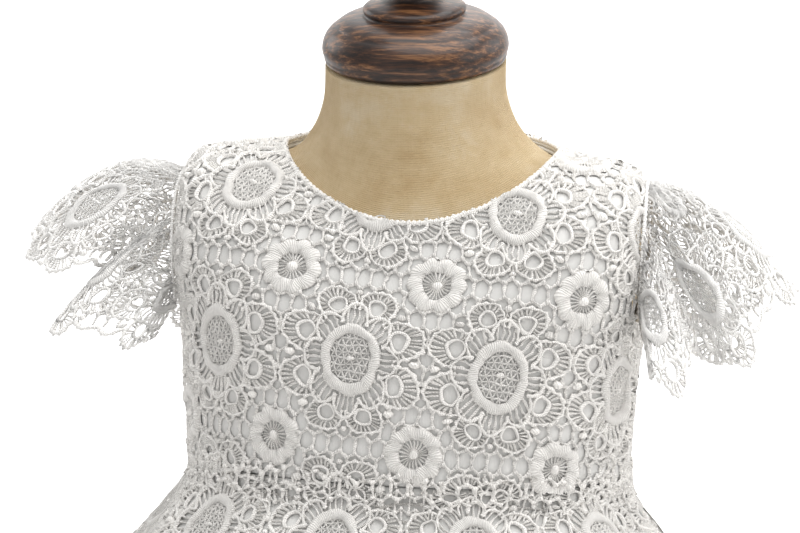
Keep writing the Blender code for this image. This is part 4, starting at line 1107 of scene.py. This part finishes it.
def lining_look():
    # the lawn is white: its grey colours are painted shade, for the shade that the lace casts on the lining
    look = Look("lining_lawn", (0.74, 0.735, 0.72), 0.85, Specular_IOR_Level=0.25, Sheen_Weight=0.15)
    flat = look.flat_places()
    warp = look.bands(flat, 0.45, "X", distortion=0.8, detail_scale=2.0)
    weft = look.bands(flat, 0.45, "Y", distortion=0.8, detail_scale=2.0)
    weave = look.math("MAXIMUM", warp, weft)
    cloud = look.noise(look.object_places(), 60.0)
    look.colour(look.ramp(cloud, (0.35, 0.71, 0.705, 0.69), (0.70, 0.76, 0.755, 0.74)))
    look.bump(weave, 0.00006)
    return look.material


def linen_look():
    """Natural linen: a plain weave with uneven threads, slubs and faint warm patches."""
    look = Look("linen_cover", (0.67, 0.55, 0.36), 0.88, Sheen_Weight=0.12, Specular_IOR_Level=0.25)
    flat = look.flat_places()
    warp = look.bands(flat, 0.62, "X", distortion=1.2, detail_scale=1.5)
    weft = look.bands(flat, 0.70, "Y", distortion=1.2, detail_scale=1.5)
    weave = look.math("ADD", warp, weft)
    slub_across = look.noise(look.stretched(flat, (0.035, 1.3, 1.0)), 1.0, detail=4.0)
    slub_down = look.noise(look.stretched(flat, (1.3, 0.035, 1.0)), 1.0, detail=4.0)
    slubs = look.math("ADD", slub_across, slub_down)
    patches = look.noise(look.object_places(), 24.0, detail=6.0, roughness=0.68)
    warm = look.ramp(patches, (0.32, 0.47, 0.335, 0.175), (0.50, 0.58, 0.45, 0.27), (0.68, 0.68, 0.59, 0.445))
    dark = look.ramp(slubs, (0.70, 0.93, 0.92, 0.90), (1.10, 1.0, 1.0, 1.0))
    woven = look.ramp(weave, (0.2, 0.86, 0.84, 0.80), (1.4, 1.0, 1.0, 1.0))
    look.colour(look.mix(0.55, look.mix(1.0, warm, dark, "MULTIPLY"), woven, "MULTIPLY"))
    look.bump(weave, 0.00012)
    look.bump(slubs, 0.00005)
    return look.material


def wood_look(name, grain_axis):
    """Dark brown turned wood under gloss varnish, with a reddish grain along one axis."""
    look = Look(
        name, (0.06, 0.02, 0.01), 0.42, Coat_Weight=0.18, Coat_Roughness=0.12, Specular_IOR_Level=0.35,
    )
    places = look.object_places()
    grain = look.noise(look.stretched(places, grain_axis), 1.0, detail=8.0, roughness=0.62, distortion=0.35)
    pores = look.noise(look.stretched(places, [5 * value for value in grain_axis]), 1.0, detail=3.0)
    look.colour(look.mix(
        0.6,
        look.ramp(grain, (0.40, 0.014, 0.006, 0.004), (0.52, 0.060, 0.024, 0.011), (0.64, 0.22, 0.10, 0.040)),
        look.ramp(pores, (0.36, 0.25, 0.22, 0.20), (0.55, 1.0, 1.0, 1.0)),
        "MULTIPLY",
    ))
    look.bump(pores, 0.00012, 0.5)
    return look.material


def pearl_look():
    look = Look(
        "pearl_button", (0.86, 0.85, 0.81), 0.18, Coat_Weight=0.5, Coat_Roughness=0.08, Subsurface_Weight=0.1,
    )
    swirl = look.noise(look.object_places(), 420.0, detail=4.0, distortion=1.5)
    look.colour(look.ramp(swirl, (0.35, 0.80, 0.79, 0.76), (0.65, 0.90, 0.895, 0.87)))
    return look.material


def stage_look(name, colour, roughness):
    """A plain finish that is clear from behind, so that the back wall hides nothing from there."""
    look = Look(name, colour, roughness, Specular_IOR_Level=0.2)
    cloud = look.noise(look.object_places(), 0.8)
    dim = [value * 0.985 for value in colour]
    look.colour(look.ramp(cloud, (0.3, *dim), (0.7, *colour)))
    behind = look.node("ShaderNodeNewGeometry").outputs["Backfacing"]
    clear = look.node("ShaderNodeBsdfTransparent").outputs[0]
    mixed = look.node("ShaderNodeMixShader", {0: behind, 1: look.shader.outputs[0], 2: clear})
    look.tree.links.new(mixed.outputs[0], look.tree.nodes["Material Output"].inputs["Surface"])
    return look.material


# ---- pieces ----------------------------------------------------------------------------------

DETAIL_NEAR, DETAIL_SKIRT = 2, 1


def tube(name, path, radius, finish, sides=8, closed=False, bead=0.0):
    """A thin round cord along points, with its ends drawn in. bead is how much it swells between stitches."""
    path = np.asarray(path, float)
    forward = np.roll(path, -1, 0) - np.roll(path, 1, 0) if closed else np.gradient(path, axis=0)
    forward = unit(forward)
    up = np.array([0.03, 0.02, 1.0])
    side = unit(np.cross(forward, up))
    top = np.cross(side, forward)
    turn = -np.arange(sides) * 2 * math.pi / sides
    size = radius * beads(len(path), bead)
    if not closed:
        size[[0, -1]] *= 0.1
    ring = side[:, None] * np.cos(turn)[:, None] + top[:, None] * np.sin(turn)[:, None]
    points = path[:, None] + ring * size[:, None, None]
    count = len(path)
    index = np.arange(count * sides).reshape(count, sides)
    here, there = (index, np.roll(index, -1, 0)) if closed else (index[:-1], index[1:])
    faces = np.stack([here, there, np.roll(there, -1, 1), np.roll(here, -1, 1)], -1).reshape(-1, 4)
    steps = np.linalg.norm(np.diff(path, axis=0), axis=1).mean() / MM
    n = np.arange(len(here))[:, None] * steps + np.zeros(sides)
    k = np.arange(sides) / sides * 2 - 1 + 0 * n
    uvs = np.stack([np.stack([n, k], -1), np.stack([n + steps, k], -1),
                    np.stack([n + steps, k + 0.25], -1), np.stack([n, k + 0.25], -1)], -2)
    return mesh_object(name, points.reshape(-1, 3), faces, finish, uvs.reshape(-1, 2))


def torso(finish):
    """The form's linen cover, with seams from the neck over the shoulders and down the sides."""
    fine = np.radians([-1.8, -1.0, -0.5, 0.0, 0.5, 1.0, 1.8])
    even = np.arange(0, 144) * 2 * math.pi / 144
    seams = np.concatenate([fine, fine + math.pi])
    gap = np.abs(np.angle(np.exp(1j * (even[:, None] - seams)))).min(1)
    angles = np.sort(np.mod(np.concatenate([even[gap > math.radians(0.6)], seams]), 2 * math.pi))
    angles = np.append(angles, angles[0] + 2 * math.pi)
    rows = np.concatenate([np.linspace(0, 4, 41), np.linspace(4, len(FORM_ROWS) - 1, 61)[1:]])
    turn, row = np.meshgrid(angles, rows)
    off = np.abs(np.angle(np.exp(1j * turn[..., None] * 1.0) / np.exp(1j * np.array([0, math.pi])))).min(-1)
    groove = 0.55 * MM * np.exp(-((off / math.radians(0.7)) ** 2)) * np.clip(row - 1.0, 0, 1)
    outer = moved_out(form_point, turn, row, -FORM_EASE - groove)
    top, bottom = outer[0, :-1].mean(0), outer[-1, :-1].mean(0)
    outer = np.concatenate([np.tile(top, (1, len(angles), 1)), outer, np.tile(bottom, (1, len(angles), 1))])
    count = outer.shape[1] - 1
    outer = outer[:, :-1]
    index = np.arange(outer.shape[0] * count).reshape(-1, count)
    a, b = index[:-1], np.roll(index[:-1], -1, 1)
    c, d = np.roll(index[1:], -1, 1), index[1:]
    faces = np.stack([a, d, c, b], -1).reshape(-1, 4)
    around = np.concatenate([[0], np.cumsum(np.diff(angles))]) * 0.075 / MM
    down = np.concatenate([[0], np.cumsum(np.linalg.norm(np.diff(outer[:, 0], axis=0), axis=1))]) / MM
    u, v = np.meshgrid(around, down)
    corners = [
        (u[:-1, :-1], v[:-1, :-1]), (u[1:, :-1], v[1:, :-1]),
        (u[1:, 1:], v[1:, 1:]), (u[:-1, 1:], v[:-1, 1:]),
    ]
    uvs = np.stack([np.stack(corner, -1) for corner in corners], -2).reshape(-1, 2)
    made = mesh_object("torso_cover", outer.reshape(-1, 3), faces, finish, uvs)
    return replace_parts(made, "form_torso")


CAP_PROFILE = (
    # radius, height above the neck's top, in millimetres
    (0, 0.5), (32.6, 0.5), (33.5, 0.8), (34.2, 1.6), (34.6, 2.8), (34.5, 3.3), (34.7, 3.8), (35.1, 5.0),
    (35.3, 6.4), (35.1, 8.0), (34.6, 9.8), (33.7, 11.6), (32.2, 13.3), (30.8, 14.4), (30.2, 14.6),
    (29.6, 15.3), (28.0, 16.4), (25.2, 17.6), (22.5, 18.3), (20.2, 18.6), (19.1, 18.9), (18.9, 19.6),
    (19.5, 20.4), (19.4, 21.4), (18.4, 22.3), (17.0, 22.9), (13.0, 23.8), (9.9, 24.8), (8.6, 26.4),
    (8.4, 28.0), (9.4, 29.9), (12.2, 31.9), (14.2, 34.6), (15.0, 37.8), (15.0, 40.8), (14.2, 43.9),
    (12.4, 47.0), (9.4, 49.7), (5.2, 51.5), (0, 52.0),
)
BASE_PROFILE = (
    # share of BASE_RADIUS, height in millimetres
    (0, 0), (0.975, 0), (0.992, 0.6), (1.0, 2.6), (1.0, 9.0), (0.994, 10.6), (0.975, 11.4), (0.965, 12.4),
    (0.955, 13.8), (0.925, 15.8), (0.90, 17.6), (0.865, 19.4), (0.82, 20.3), (0.62, 21.0), (0.40, 21.6),
    (0.16, 22), (0, 22),
)


def wooden_parts():
    top = form_point(np.arange(4) * math.pi / 2, np.zeros(4)).mean(0)
    matrix = Matrix.Translation(Vector(top)) @ Matrix.Rotation(CAP_TILT, 4, "X")
    across_grain = wood_look("wood_across", (34.0, 260.0, 620.0))
    up_grain = wood_look("wood_upright", (420.0, 420.0, 22.0))
    cap = turned("neck_cap", np.array(CAP_PROFILE) * MM, 112, across_grain, "wood", matrix)
    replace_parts(cap, "form_neck_cap")
    profile = [(BASE_RADIUS * share, MM * high) for share, high in BASE_PROFILE]
    base = turned("base_disc", profile, 128, across_grain, "wood")
    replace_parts(base, "stand_base")
    low, high = (corner.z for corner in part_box("stand_pole"))
    pole = [
        (0, low), (0.0195, low), (0.0203, low + 0.0010), (0.0203, low + 0.0030), (0.0192, low + 0.0042),
        (0.0160, low + 0.0060), (0.0136, low + 0.0090), (0.0126, low + 0.0130), (0.0123, low + 0.030),
        (0.0123, high - 0.030), (0.0126, high - 0.0200), (0.0150, high - 0.0150), (0.0192, high - 0.0118),
        (0.0203, high - 0.0100), (0.0203, high - 0.0010), (0.0198, high), (0, high),
    ]
    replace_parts(turned("pole_turned", pole, 64, up_grain, "wood"), "stand_pole")


BODICE_PANELS = {
    # name: start angle, end angle, columns, whether each end is a side seam, the column that stands upright
    "front": (math.pi, 2 * math.pi, 20, True, True, 10),
    "back_left": (0.0, math.pi / 2, 10, True, False, 10),
    "back_right": (math.pi / 2, math.pi, 10, False, True, 0),
}


def bodice(thread, lawn):
    for name, table in BODICE_PANELS.items():
        cut = BodicePanel(*table)
        rows = np.sort(np.append(np.linspace(3.0, WAIST_ROW, 61), [5.04, 5.01, 6.96, 6.99]))
        low, high = cut.reach(rows)
        share = np.linspace(0, 1, 97 if name == "front" else 49)
        angle = low[:, None] + (high - low)[:, None] * share
        row = rows[:, None] + 0 * angle
        inner = cut.lifted(angle, row, np.full(angle.shape, LINING_IN))
        outer = cut.lifted(angle, row, np.full(angle.shape, LINING_OUT))
        lining = shell(f"bodice_lawn_{name}", inner, outer, lawn, MM)
        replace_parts(lining, f"bodice_lining_{name}")
        edge = cut.edge()

        medallions = near(cut.medallions(), edge)
        daisies = near(cut.daisies(medallions), edge)
        motifs = [
            repeated(medallion(DETAIL_NEAR), medallions),
            repeated(daisy(DETAIL_NEAR), daisies),
            outside_motifs(bodice_ground(DETAIL_NEAR), medallions, daisies),
        ]
        places = cut.place(edge, np.zeros(len(edge)))
        at_neck = (places[:, 2] > 0.490) & (np.abs(places[:, 0]) < 0.058)
        cut_line = grown(edge, np.where(at_neck, 1.0 * MM, 2.4 * MM))
        lace = lay_lace(f"bodice_guipure_{name}", cut, motifs, cut_line, thread, LACE_UNDER)
        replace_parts(lace, f"bodice_lace_{name}")


def bodice_ground(detail, size=0.16):
    """The ground on the bodice's cuts: straight rows, tilted with the lace."""
    cosine, sine = math.cos(LACE_TILT), math.sin(LACE_TILT)

    def place(column, row, side):
        x, y = column * BAR_PITCH, row * BAR_ROWS + side * BAR_ZIGZAG
        return np.stack([LACE_ORIGIN[0] + cosine * x - sine * y, LACE_ORIGIN[1] + sine * x + cosine * y], -1)

    return ground(place, round(size / BAR_PITCH), round(size / BAR_ROWS), detail)


def skirt_ground(cut, detail):
    """The ground on half the skirt, out to its side seams: level rows of as many holes as fit round."""
    def place(column, row, side):
        way = MEDALLION_REACH + row * BAR_ROWS - side * BAR_ZIGZAG
        level = MEDALLION_REACH + row * BAR_ROWS
        count = np.round(2 * SKIRT_HALF_SECTOR * np.maximum(WAIST_FLAT_RADIUS + level, 0.02) / BAR_PITCH)
        return cut.ring(way, column / count * 2)

    return ground(place, *SKIRT_GROUND, detail)


def skirt(thread, lawn):
    for name, start in (("front", math.pi), ("back", 0.0)):
        cut = SkirtHalf(start)
        ways = np.concatenate([np.linspace(0, 0.06, 13), np.linspace(0.06, LINING_LENGTH, 33)[1:]])
        way, angle = np.meshgrid(ways, np.linspace(cut.start, cut.end, 181), indexing="ij")
        hem = 0.25 * MM * np.clip((way - LINING_LENGTH + 0.012) / 0.001, 0, 1)
        inner = moved_out(skirt_point, angle, way, np.full(angle.shape, LINING_IN))
        outer = moved_out(skirt_point, angle, way, LINING_OUT + hem)
        lining = shell(f"skirt_lawn_{name}", inner, outer, lawn, MM)
        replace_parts(lining, f"skirt_lining_{name}")
        waist = cut.ring(np.zeros(41), np.linspace(-1, 1, 41))

        medallions = cut.medallions()
        daisies = cut.daisies(medallions)
        reach = 6 * MM
        edge = np.concatenate([waist, cut.ring(np.full(121, SKIRT_LENGTH + reach), np.linspace(1, -1, 121))])
        layers = [
            repeated(medallion(DETAIL_SKIRT), medallions),
            repeated(daisy(DETAIL_SKIRT), daisies),
            within(outside_motifs(skirt_ground(cut, DETAIL_SKIRT), medallions, daisies),
                   np.concatenate([waist, cut.hem() + (0, 2.5 * MM)])),
            outside_motifs(edge_cord(cut.hem() + (0, 2.5 * MM)), medallions, daisies),
        ]
        split = WAIST_FLAT_RADIUS + MEDALLION_REACH + (SKIRT_LENGTH - 2 * MEDALLION_REACH) * 0.55

        def part(layer, lower):
            points, faces, uvs = layer
            middle = points[faces].mean(1)
            radius = np.hypot(middle[:, 0], WAIST_FLAT_RADIUS - middle[:, 1])
            kept = (radius > split) if lower else (radius <= split)
            return points, faces[kept], uvs[kept]

        upper, lower = (
            lay_lace(
                f"skirt_guipure_{name}_{place}", cut, [part(layer, place == "lower") for layer in layers],
                edge, thread, LACE_UNDER,
            )
            for place in ("upper", "lower")
        )
        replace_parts(upper, f"skirt_lace_{name}")
        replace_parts(lower, f"skirt_lace_{name}")


def sleeves(thread):
    for name, side in (("right", -1), ("left", 1)):
        cut = Sleeve(SLEEVE_EDGES[name], side, SLEEVE_SHIFTS[name])
        edge = cut.edge()
        medallions = cut.medallions()
        daisies = cut.daisies(medallions)

        along = np.linspace(0, cut.length, 241)
        free = np.stack([along, 4.2 * MM - 1.6 * MM * np.abs(np.sin(along / BAR_PITCH * math.pi / 2))], -1)
        seam_line = np.stack([along, cut.width(along)], -1)[::-1]

        def place(column, row, end):
            return np.stack([column * BAR_PITCH, row * BAR_ROWS + 2 * MM + end * BAR_ZIGZAG], -1)

        layers = [
            repeated(medallion(DETAIL_NEAR, True), medallions),
            repeated(daisy(DETAIL_NEAR, True), daisies),
            within(outside_motifs(ground(place, round(cut.length / BAR_PITCH) + 2, 16, DETAIL_NEAR, True),
                                  medallions, daisies), np.concatenate([free, seam_line])),
            outside_motifs(edge_cord(free, True), medallions, daisies),
        ]
        lace = lay_lace(f"sleeve_guipure_{name}", cut, layers, edge, thread, -0.65 * MM)
        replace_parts(lace, f"sleeve_{name}")
        share = np.linspace(0.0, 1.0, 121)
        tube(f"sleeve_seam_{name}", cut.seam(share), 0.8 * MM, thread, bead=0.3)


def waist_tape(lawn):
    """A narrow tape inside the waist seam, behind the gap between bodice and skirt."""
    angle = np.linspace(0, 2 * math.pi, 145)
    row, turn = np.meshgrid(WAIST_ROW + np.linspace(-0.12, 0.10, 9), angle, indexing="ij")
    inner = moved_out(form_point, turn, row, np.full(turn.shape, -0.75 * MM))
    outer = moved_out(form_point, turn, row, np.full(turn.shape, 0.15 * MM))
    shell("waist_tape", inner, outer, lawn, MM)


class WaistBand:
    """Flat places round the waist seam: along it from the front's middle, and up."""

    length = float(np.linalg.norm(np.diff(WAIST_RING, axis=0), axis=1).sum())
    row_length = float(np.linalg.norm(form_point(np.array(-1.5), np.array(WAIST_ROW - 0.1))
                                      - form_point(np.array(-1.5), np.array(WAIST_ROW)))) / 0.1

    def place(self, flat, distance):
        angle = 1.5 * math.pi + flat[:, 0] / self.length * 2 * math.pi
        up = flat[:, 1]
        above = moved_out(form_point, angle, WAIST_ROW - np.maximum(up, 0) / self.row_length, distance)
        below = moved_out(skirt_point, angle, np.maximum(-up, 0), distance)
        return np.where(up[:, None] > 0, above, below)


def waist_ground(thread):
    """A strip of the lace's ground over the waist seam, which carries the bodice's lace into the skirt's."""
    band = WaistBand()
    columns = round(band.length / BAR_PITCH / 2) * 2
    pitch = band.length / columns

    def place(column, row, side):
        y = row * BAR_ROWS + side * BAR_ZIGZAG - 4.5 * MM + 1.2 * MM * np.sin(column * 0.9)
        return np.stack([column * pitch, y], -1)

    along = np.linspace(-0.5, 0.5, 241) * band.length
    top = np.stack([along, (4.5 + 2.0 * np.sin(along * 260)) * MM], -1)
    foot = np.stack([along, (-9.0 + 2.5 * np.sin(along * 190)) * MM], -1)[::-1]
    layer = ground(place, columns // 2 + 1, 3, DETAIL_NEAR)
    lay_lace("waist_guipure", band, [layer], np.concatenate([top, foot]), thread, LACE_UNDER + 0.7 * MM)


def neck_binding(thread, lawn):
    """A narrow binding round the neck, open at the back's middle, with a facing turned in below it."""
    angle = np.linspace(math.pi / 2 + 0.004, math.pi / 2 + 2 * math.pi - 0.004, 321)
    row = np.full_like(angle, ROW["neckline"] + 0.02)
    path = moved_out(form_point, angle, row, np.full(angle.shape, (LINING_OUT + LACE_IN) / 2 + 0.2 * MM))
    tube("neck_binding", path, 0.95 * MM, thread, bead=0.3)
    turned_in, turn = np.meshgrid(ROW["neckline"] + np.linspace(0.03, 0.45, 9), angle, indexing="ij")
    inner = moved_out(form_point, turn, turned_in, np.full(turn.shape, -1.05 * MM))
    outer = moved_out(form_point, turn, turned_in, np.full(turn.shape, 0.42 * MM))
    shell("neck_facing", inner, outer, lawn, MM)


PLACKET_HALF_WIDTH = 0.0065
BUTTONS = 4
BUTTON_RADIUS = 0.0048


def placket_place(across, row, distance):
    """Points over the back's middle: across is metres from the opening, at one of the form's rows."""
    depth = form_point(np.full_like(row, math.pi / 2), row)[..., 1]
    return moved_out(form_point, math.pi / 2 - across / np.abs(depth), row, np.full(row.shape, distance))


BUTTON_FOOT, BUTTON_HEAD = 0.35 * MM, 2.9 * MM      # out from the placket, which gives the button's axis
BUTTON_HEIGHT = 2.6 * MM


def back_closing(lawn, pearl):
    rows = np.linspace(ROW["neckline"] + 0.02, WAIST_ROW - 0.03, 61)
    across, row = np.meshgrid(np.linspace(PLACKET_HALF_WIDTH, -PLACKET_HALF_WIDTH, 15), rows)
    inner = placket_place(across, row, PLACKET_IN)[:, ::-1]
    fold = 0.25 * MM * np.cos(np.pi * across / PLACKET_HALF_WIDTH) ** 4
    outer = placket_place(across, row, PLACKET_OUT)[:, ::-1]
    outer = outer + unit(outer - inner) * fold[:, ::-1, None]
    strip = shell("placket_strip", inner, outer, lawn, MM)
    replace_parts(strip, "back_placket")
    profile = (
        # shares of the radius and of the height
        (0, 0), (0.80, 0), (0.95, 0.14), (1.0, 0.42), (0.97, 0.66), (0.90, 0.80), (0.80, 0.84), (0.70, 0.72),
        (0.60, 0.68), (0.48, 0.78), (0.30, 0.93), (0.12, 1.0), (0, 1.0),
    )
    for number, row in enumerate(np.linspace(ROW["neckline"] + 0.35, WAIST_ROW - 0.75, BUTTONS), 1):
        foot = Vector(placket_place(np.zeros(1), np.array([row]), PLACKET_OUT + BUTTON_FOOT)[0])
        head = Vector(placket_place(np.zeros(1), np.array([row]), PLACKET_OUT + BUTTON_HEAD)[0])
        matrix = Matrix.Translation(foot) @ (head - foot).to_track_quat("Z", "Y").to_matrix().to_4x4()
        size = [(BUTTON_RADIUS * radius, BUTTON_HEIGHT * high) for radius, high in profile]
        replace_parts(turned(f"pearl_{number}", size, 40, pearl, "button", matrix), f"button_{number}")


# ---- stage -----------------------------------------------------------------------------------

def stage():
    white = stage_look("stage_white", (0.93, 0.925, 0.92), 0.9)
    floor_half, wall_back, wall_height, bend = 6.0, 2.2, 5.0, 1.2
    turn = np.linspace(0, math.pi / 2, 13)
    profile = [(-floor_half, 0.0), (wall_back - bend, 0.0)]
    profile += [(wall_back - bend + bend * math.sin(a), bend - bend * math.cos(a)) for a in turn[1:]]
    profile.append((wall_back, wall_height))
    verts = [(x, y, z - 0.0005) for y, z in profile for x in (-floor_half, floor_half)]
    faces = [(2 * n, 2 * n + 1, 2 * n + 3, 2 * n + 2) for n in range(len(profile) - 1)]
    mesh = bpy.data.meshes.new("backdrop")
    mesh.from_pydata(verts, [], faces)
    mesh.shade_smooth()
    mesh.materials.append(white)
    made = bpy.data.objects.new("backdrop", mesh)
    bpy.context.scene.collection.objects.link(made)


LIGHTS = (
    # name, place, size, watts, colour
    ("top", (0.35, -0.25, 2.0), 2.0, 33.0, (1.0, 0.998, 0.99)),
    ("front", (-1.1, -2.1, 1.3), 2.2, 4.0, (1.0, 0.99, 0.975)),
    ("right", (1.9, -0.35, 1.1), 1.4, 9.0, (1.0, 0.975, 0.945)),
    ("back_left", (-1.6, 0.8, 1.3), 1.2, 8.0, (1.0, 1.0, 1.0)),
    ("back_right", (1.6, 0.8, 1.3), 1.2, 8.0, (1.0, 1.0, 1.0)),
    ("backdrop", (0.0, 1.0, 2.6), 1.8, 54.0, (1.0, 1.0, 1.0)),
)


SUBJECT, WALL = (0, 0, 0.5), (0, 2.6, 1.6)      # what the lights point at
WORLD_COLOUR, WORLD_STRENGTH = (1.0, 0.995, 0.985, 1), 0.50


def lights():
    for name, place, size, watts, colour in LIGHTS:
        data = bpy.data.lights.new(name, "AREA")
        data.shape = "DISK"
        data.size = size
        data.energy = watts
        data.color = colour
        made = bpy.data.objects.new(name, data)
        made.location = place
        aim = Vector(WALL if name == "backdrop" else SUBJECT)
        made.rotation_euler = (aim - Vector(place)).to_track_quat("-Z", "Y").to_euler()
        bpy.context.scene.collection.objects.link(made)
    world = bpy.data.worlds.new("studio")
    world.use_nodes = True
    background = world.node_tree.nodes["Background"]
    background.inputs["Color"].default_value = WORLD_COLOUR
    background.inputs["Strength"].default_value = WORLD_STRENGTH
    bpy.context.scene.world = world


def main():
    camera()
    bpy.context.scene.view_settings.view_transform = "Standard"
    thread = thread_look("cotton_thread", (0.935, 0.915, 0.885), (0.86, 0.84, 0.81))
    lawn = lining_look()
    torso(linen_look())
    wooden_parts()
    bodice(thread, lawn)
    skirt(thread, lawn)
    # the sleeves' thread is a lighter copy of the same cotton: painted light, for the light that shines
    # through the thin sleeves from behind
    sleeves(thread_look("cotton_thread_sleeve_painted_backlight", (0.975, 0.965, 0.95), (0.94, 0.925, 0.905)))
    waist_tape(lawn)
    waist_ground(thread)
    neck_binding(thread, lawn)
    back_closing(lawn, pearl_look())
    stage()
    lights()


main()
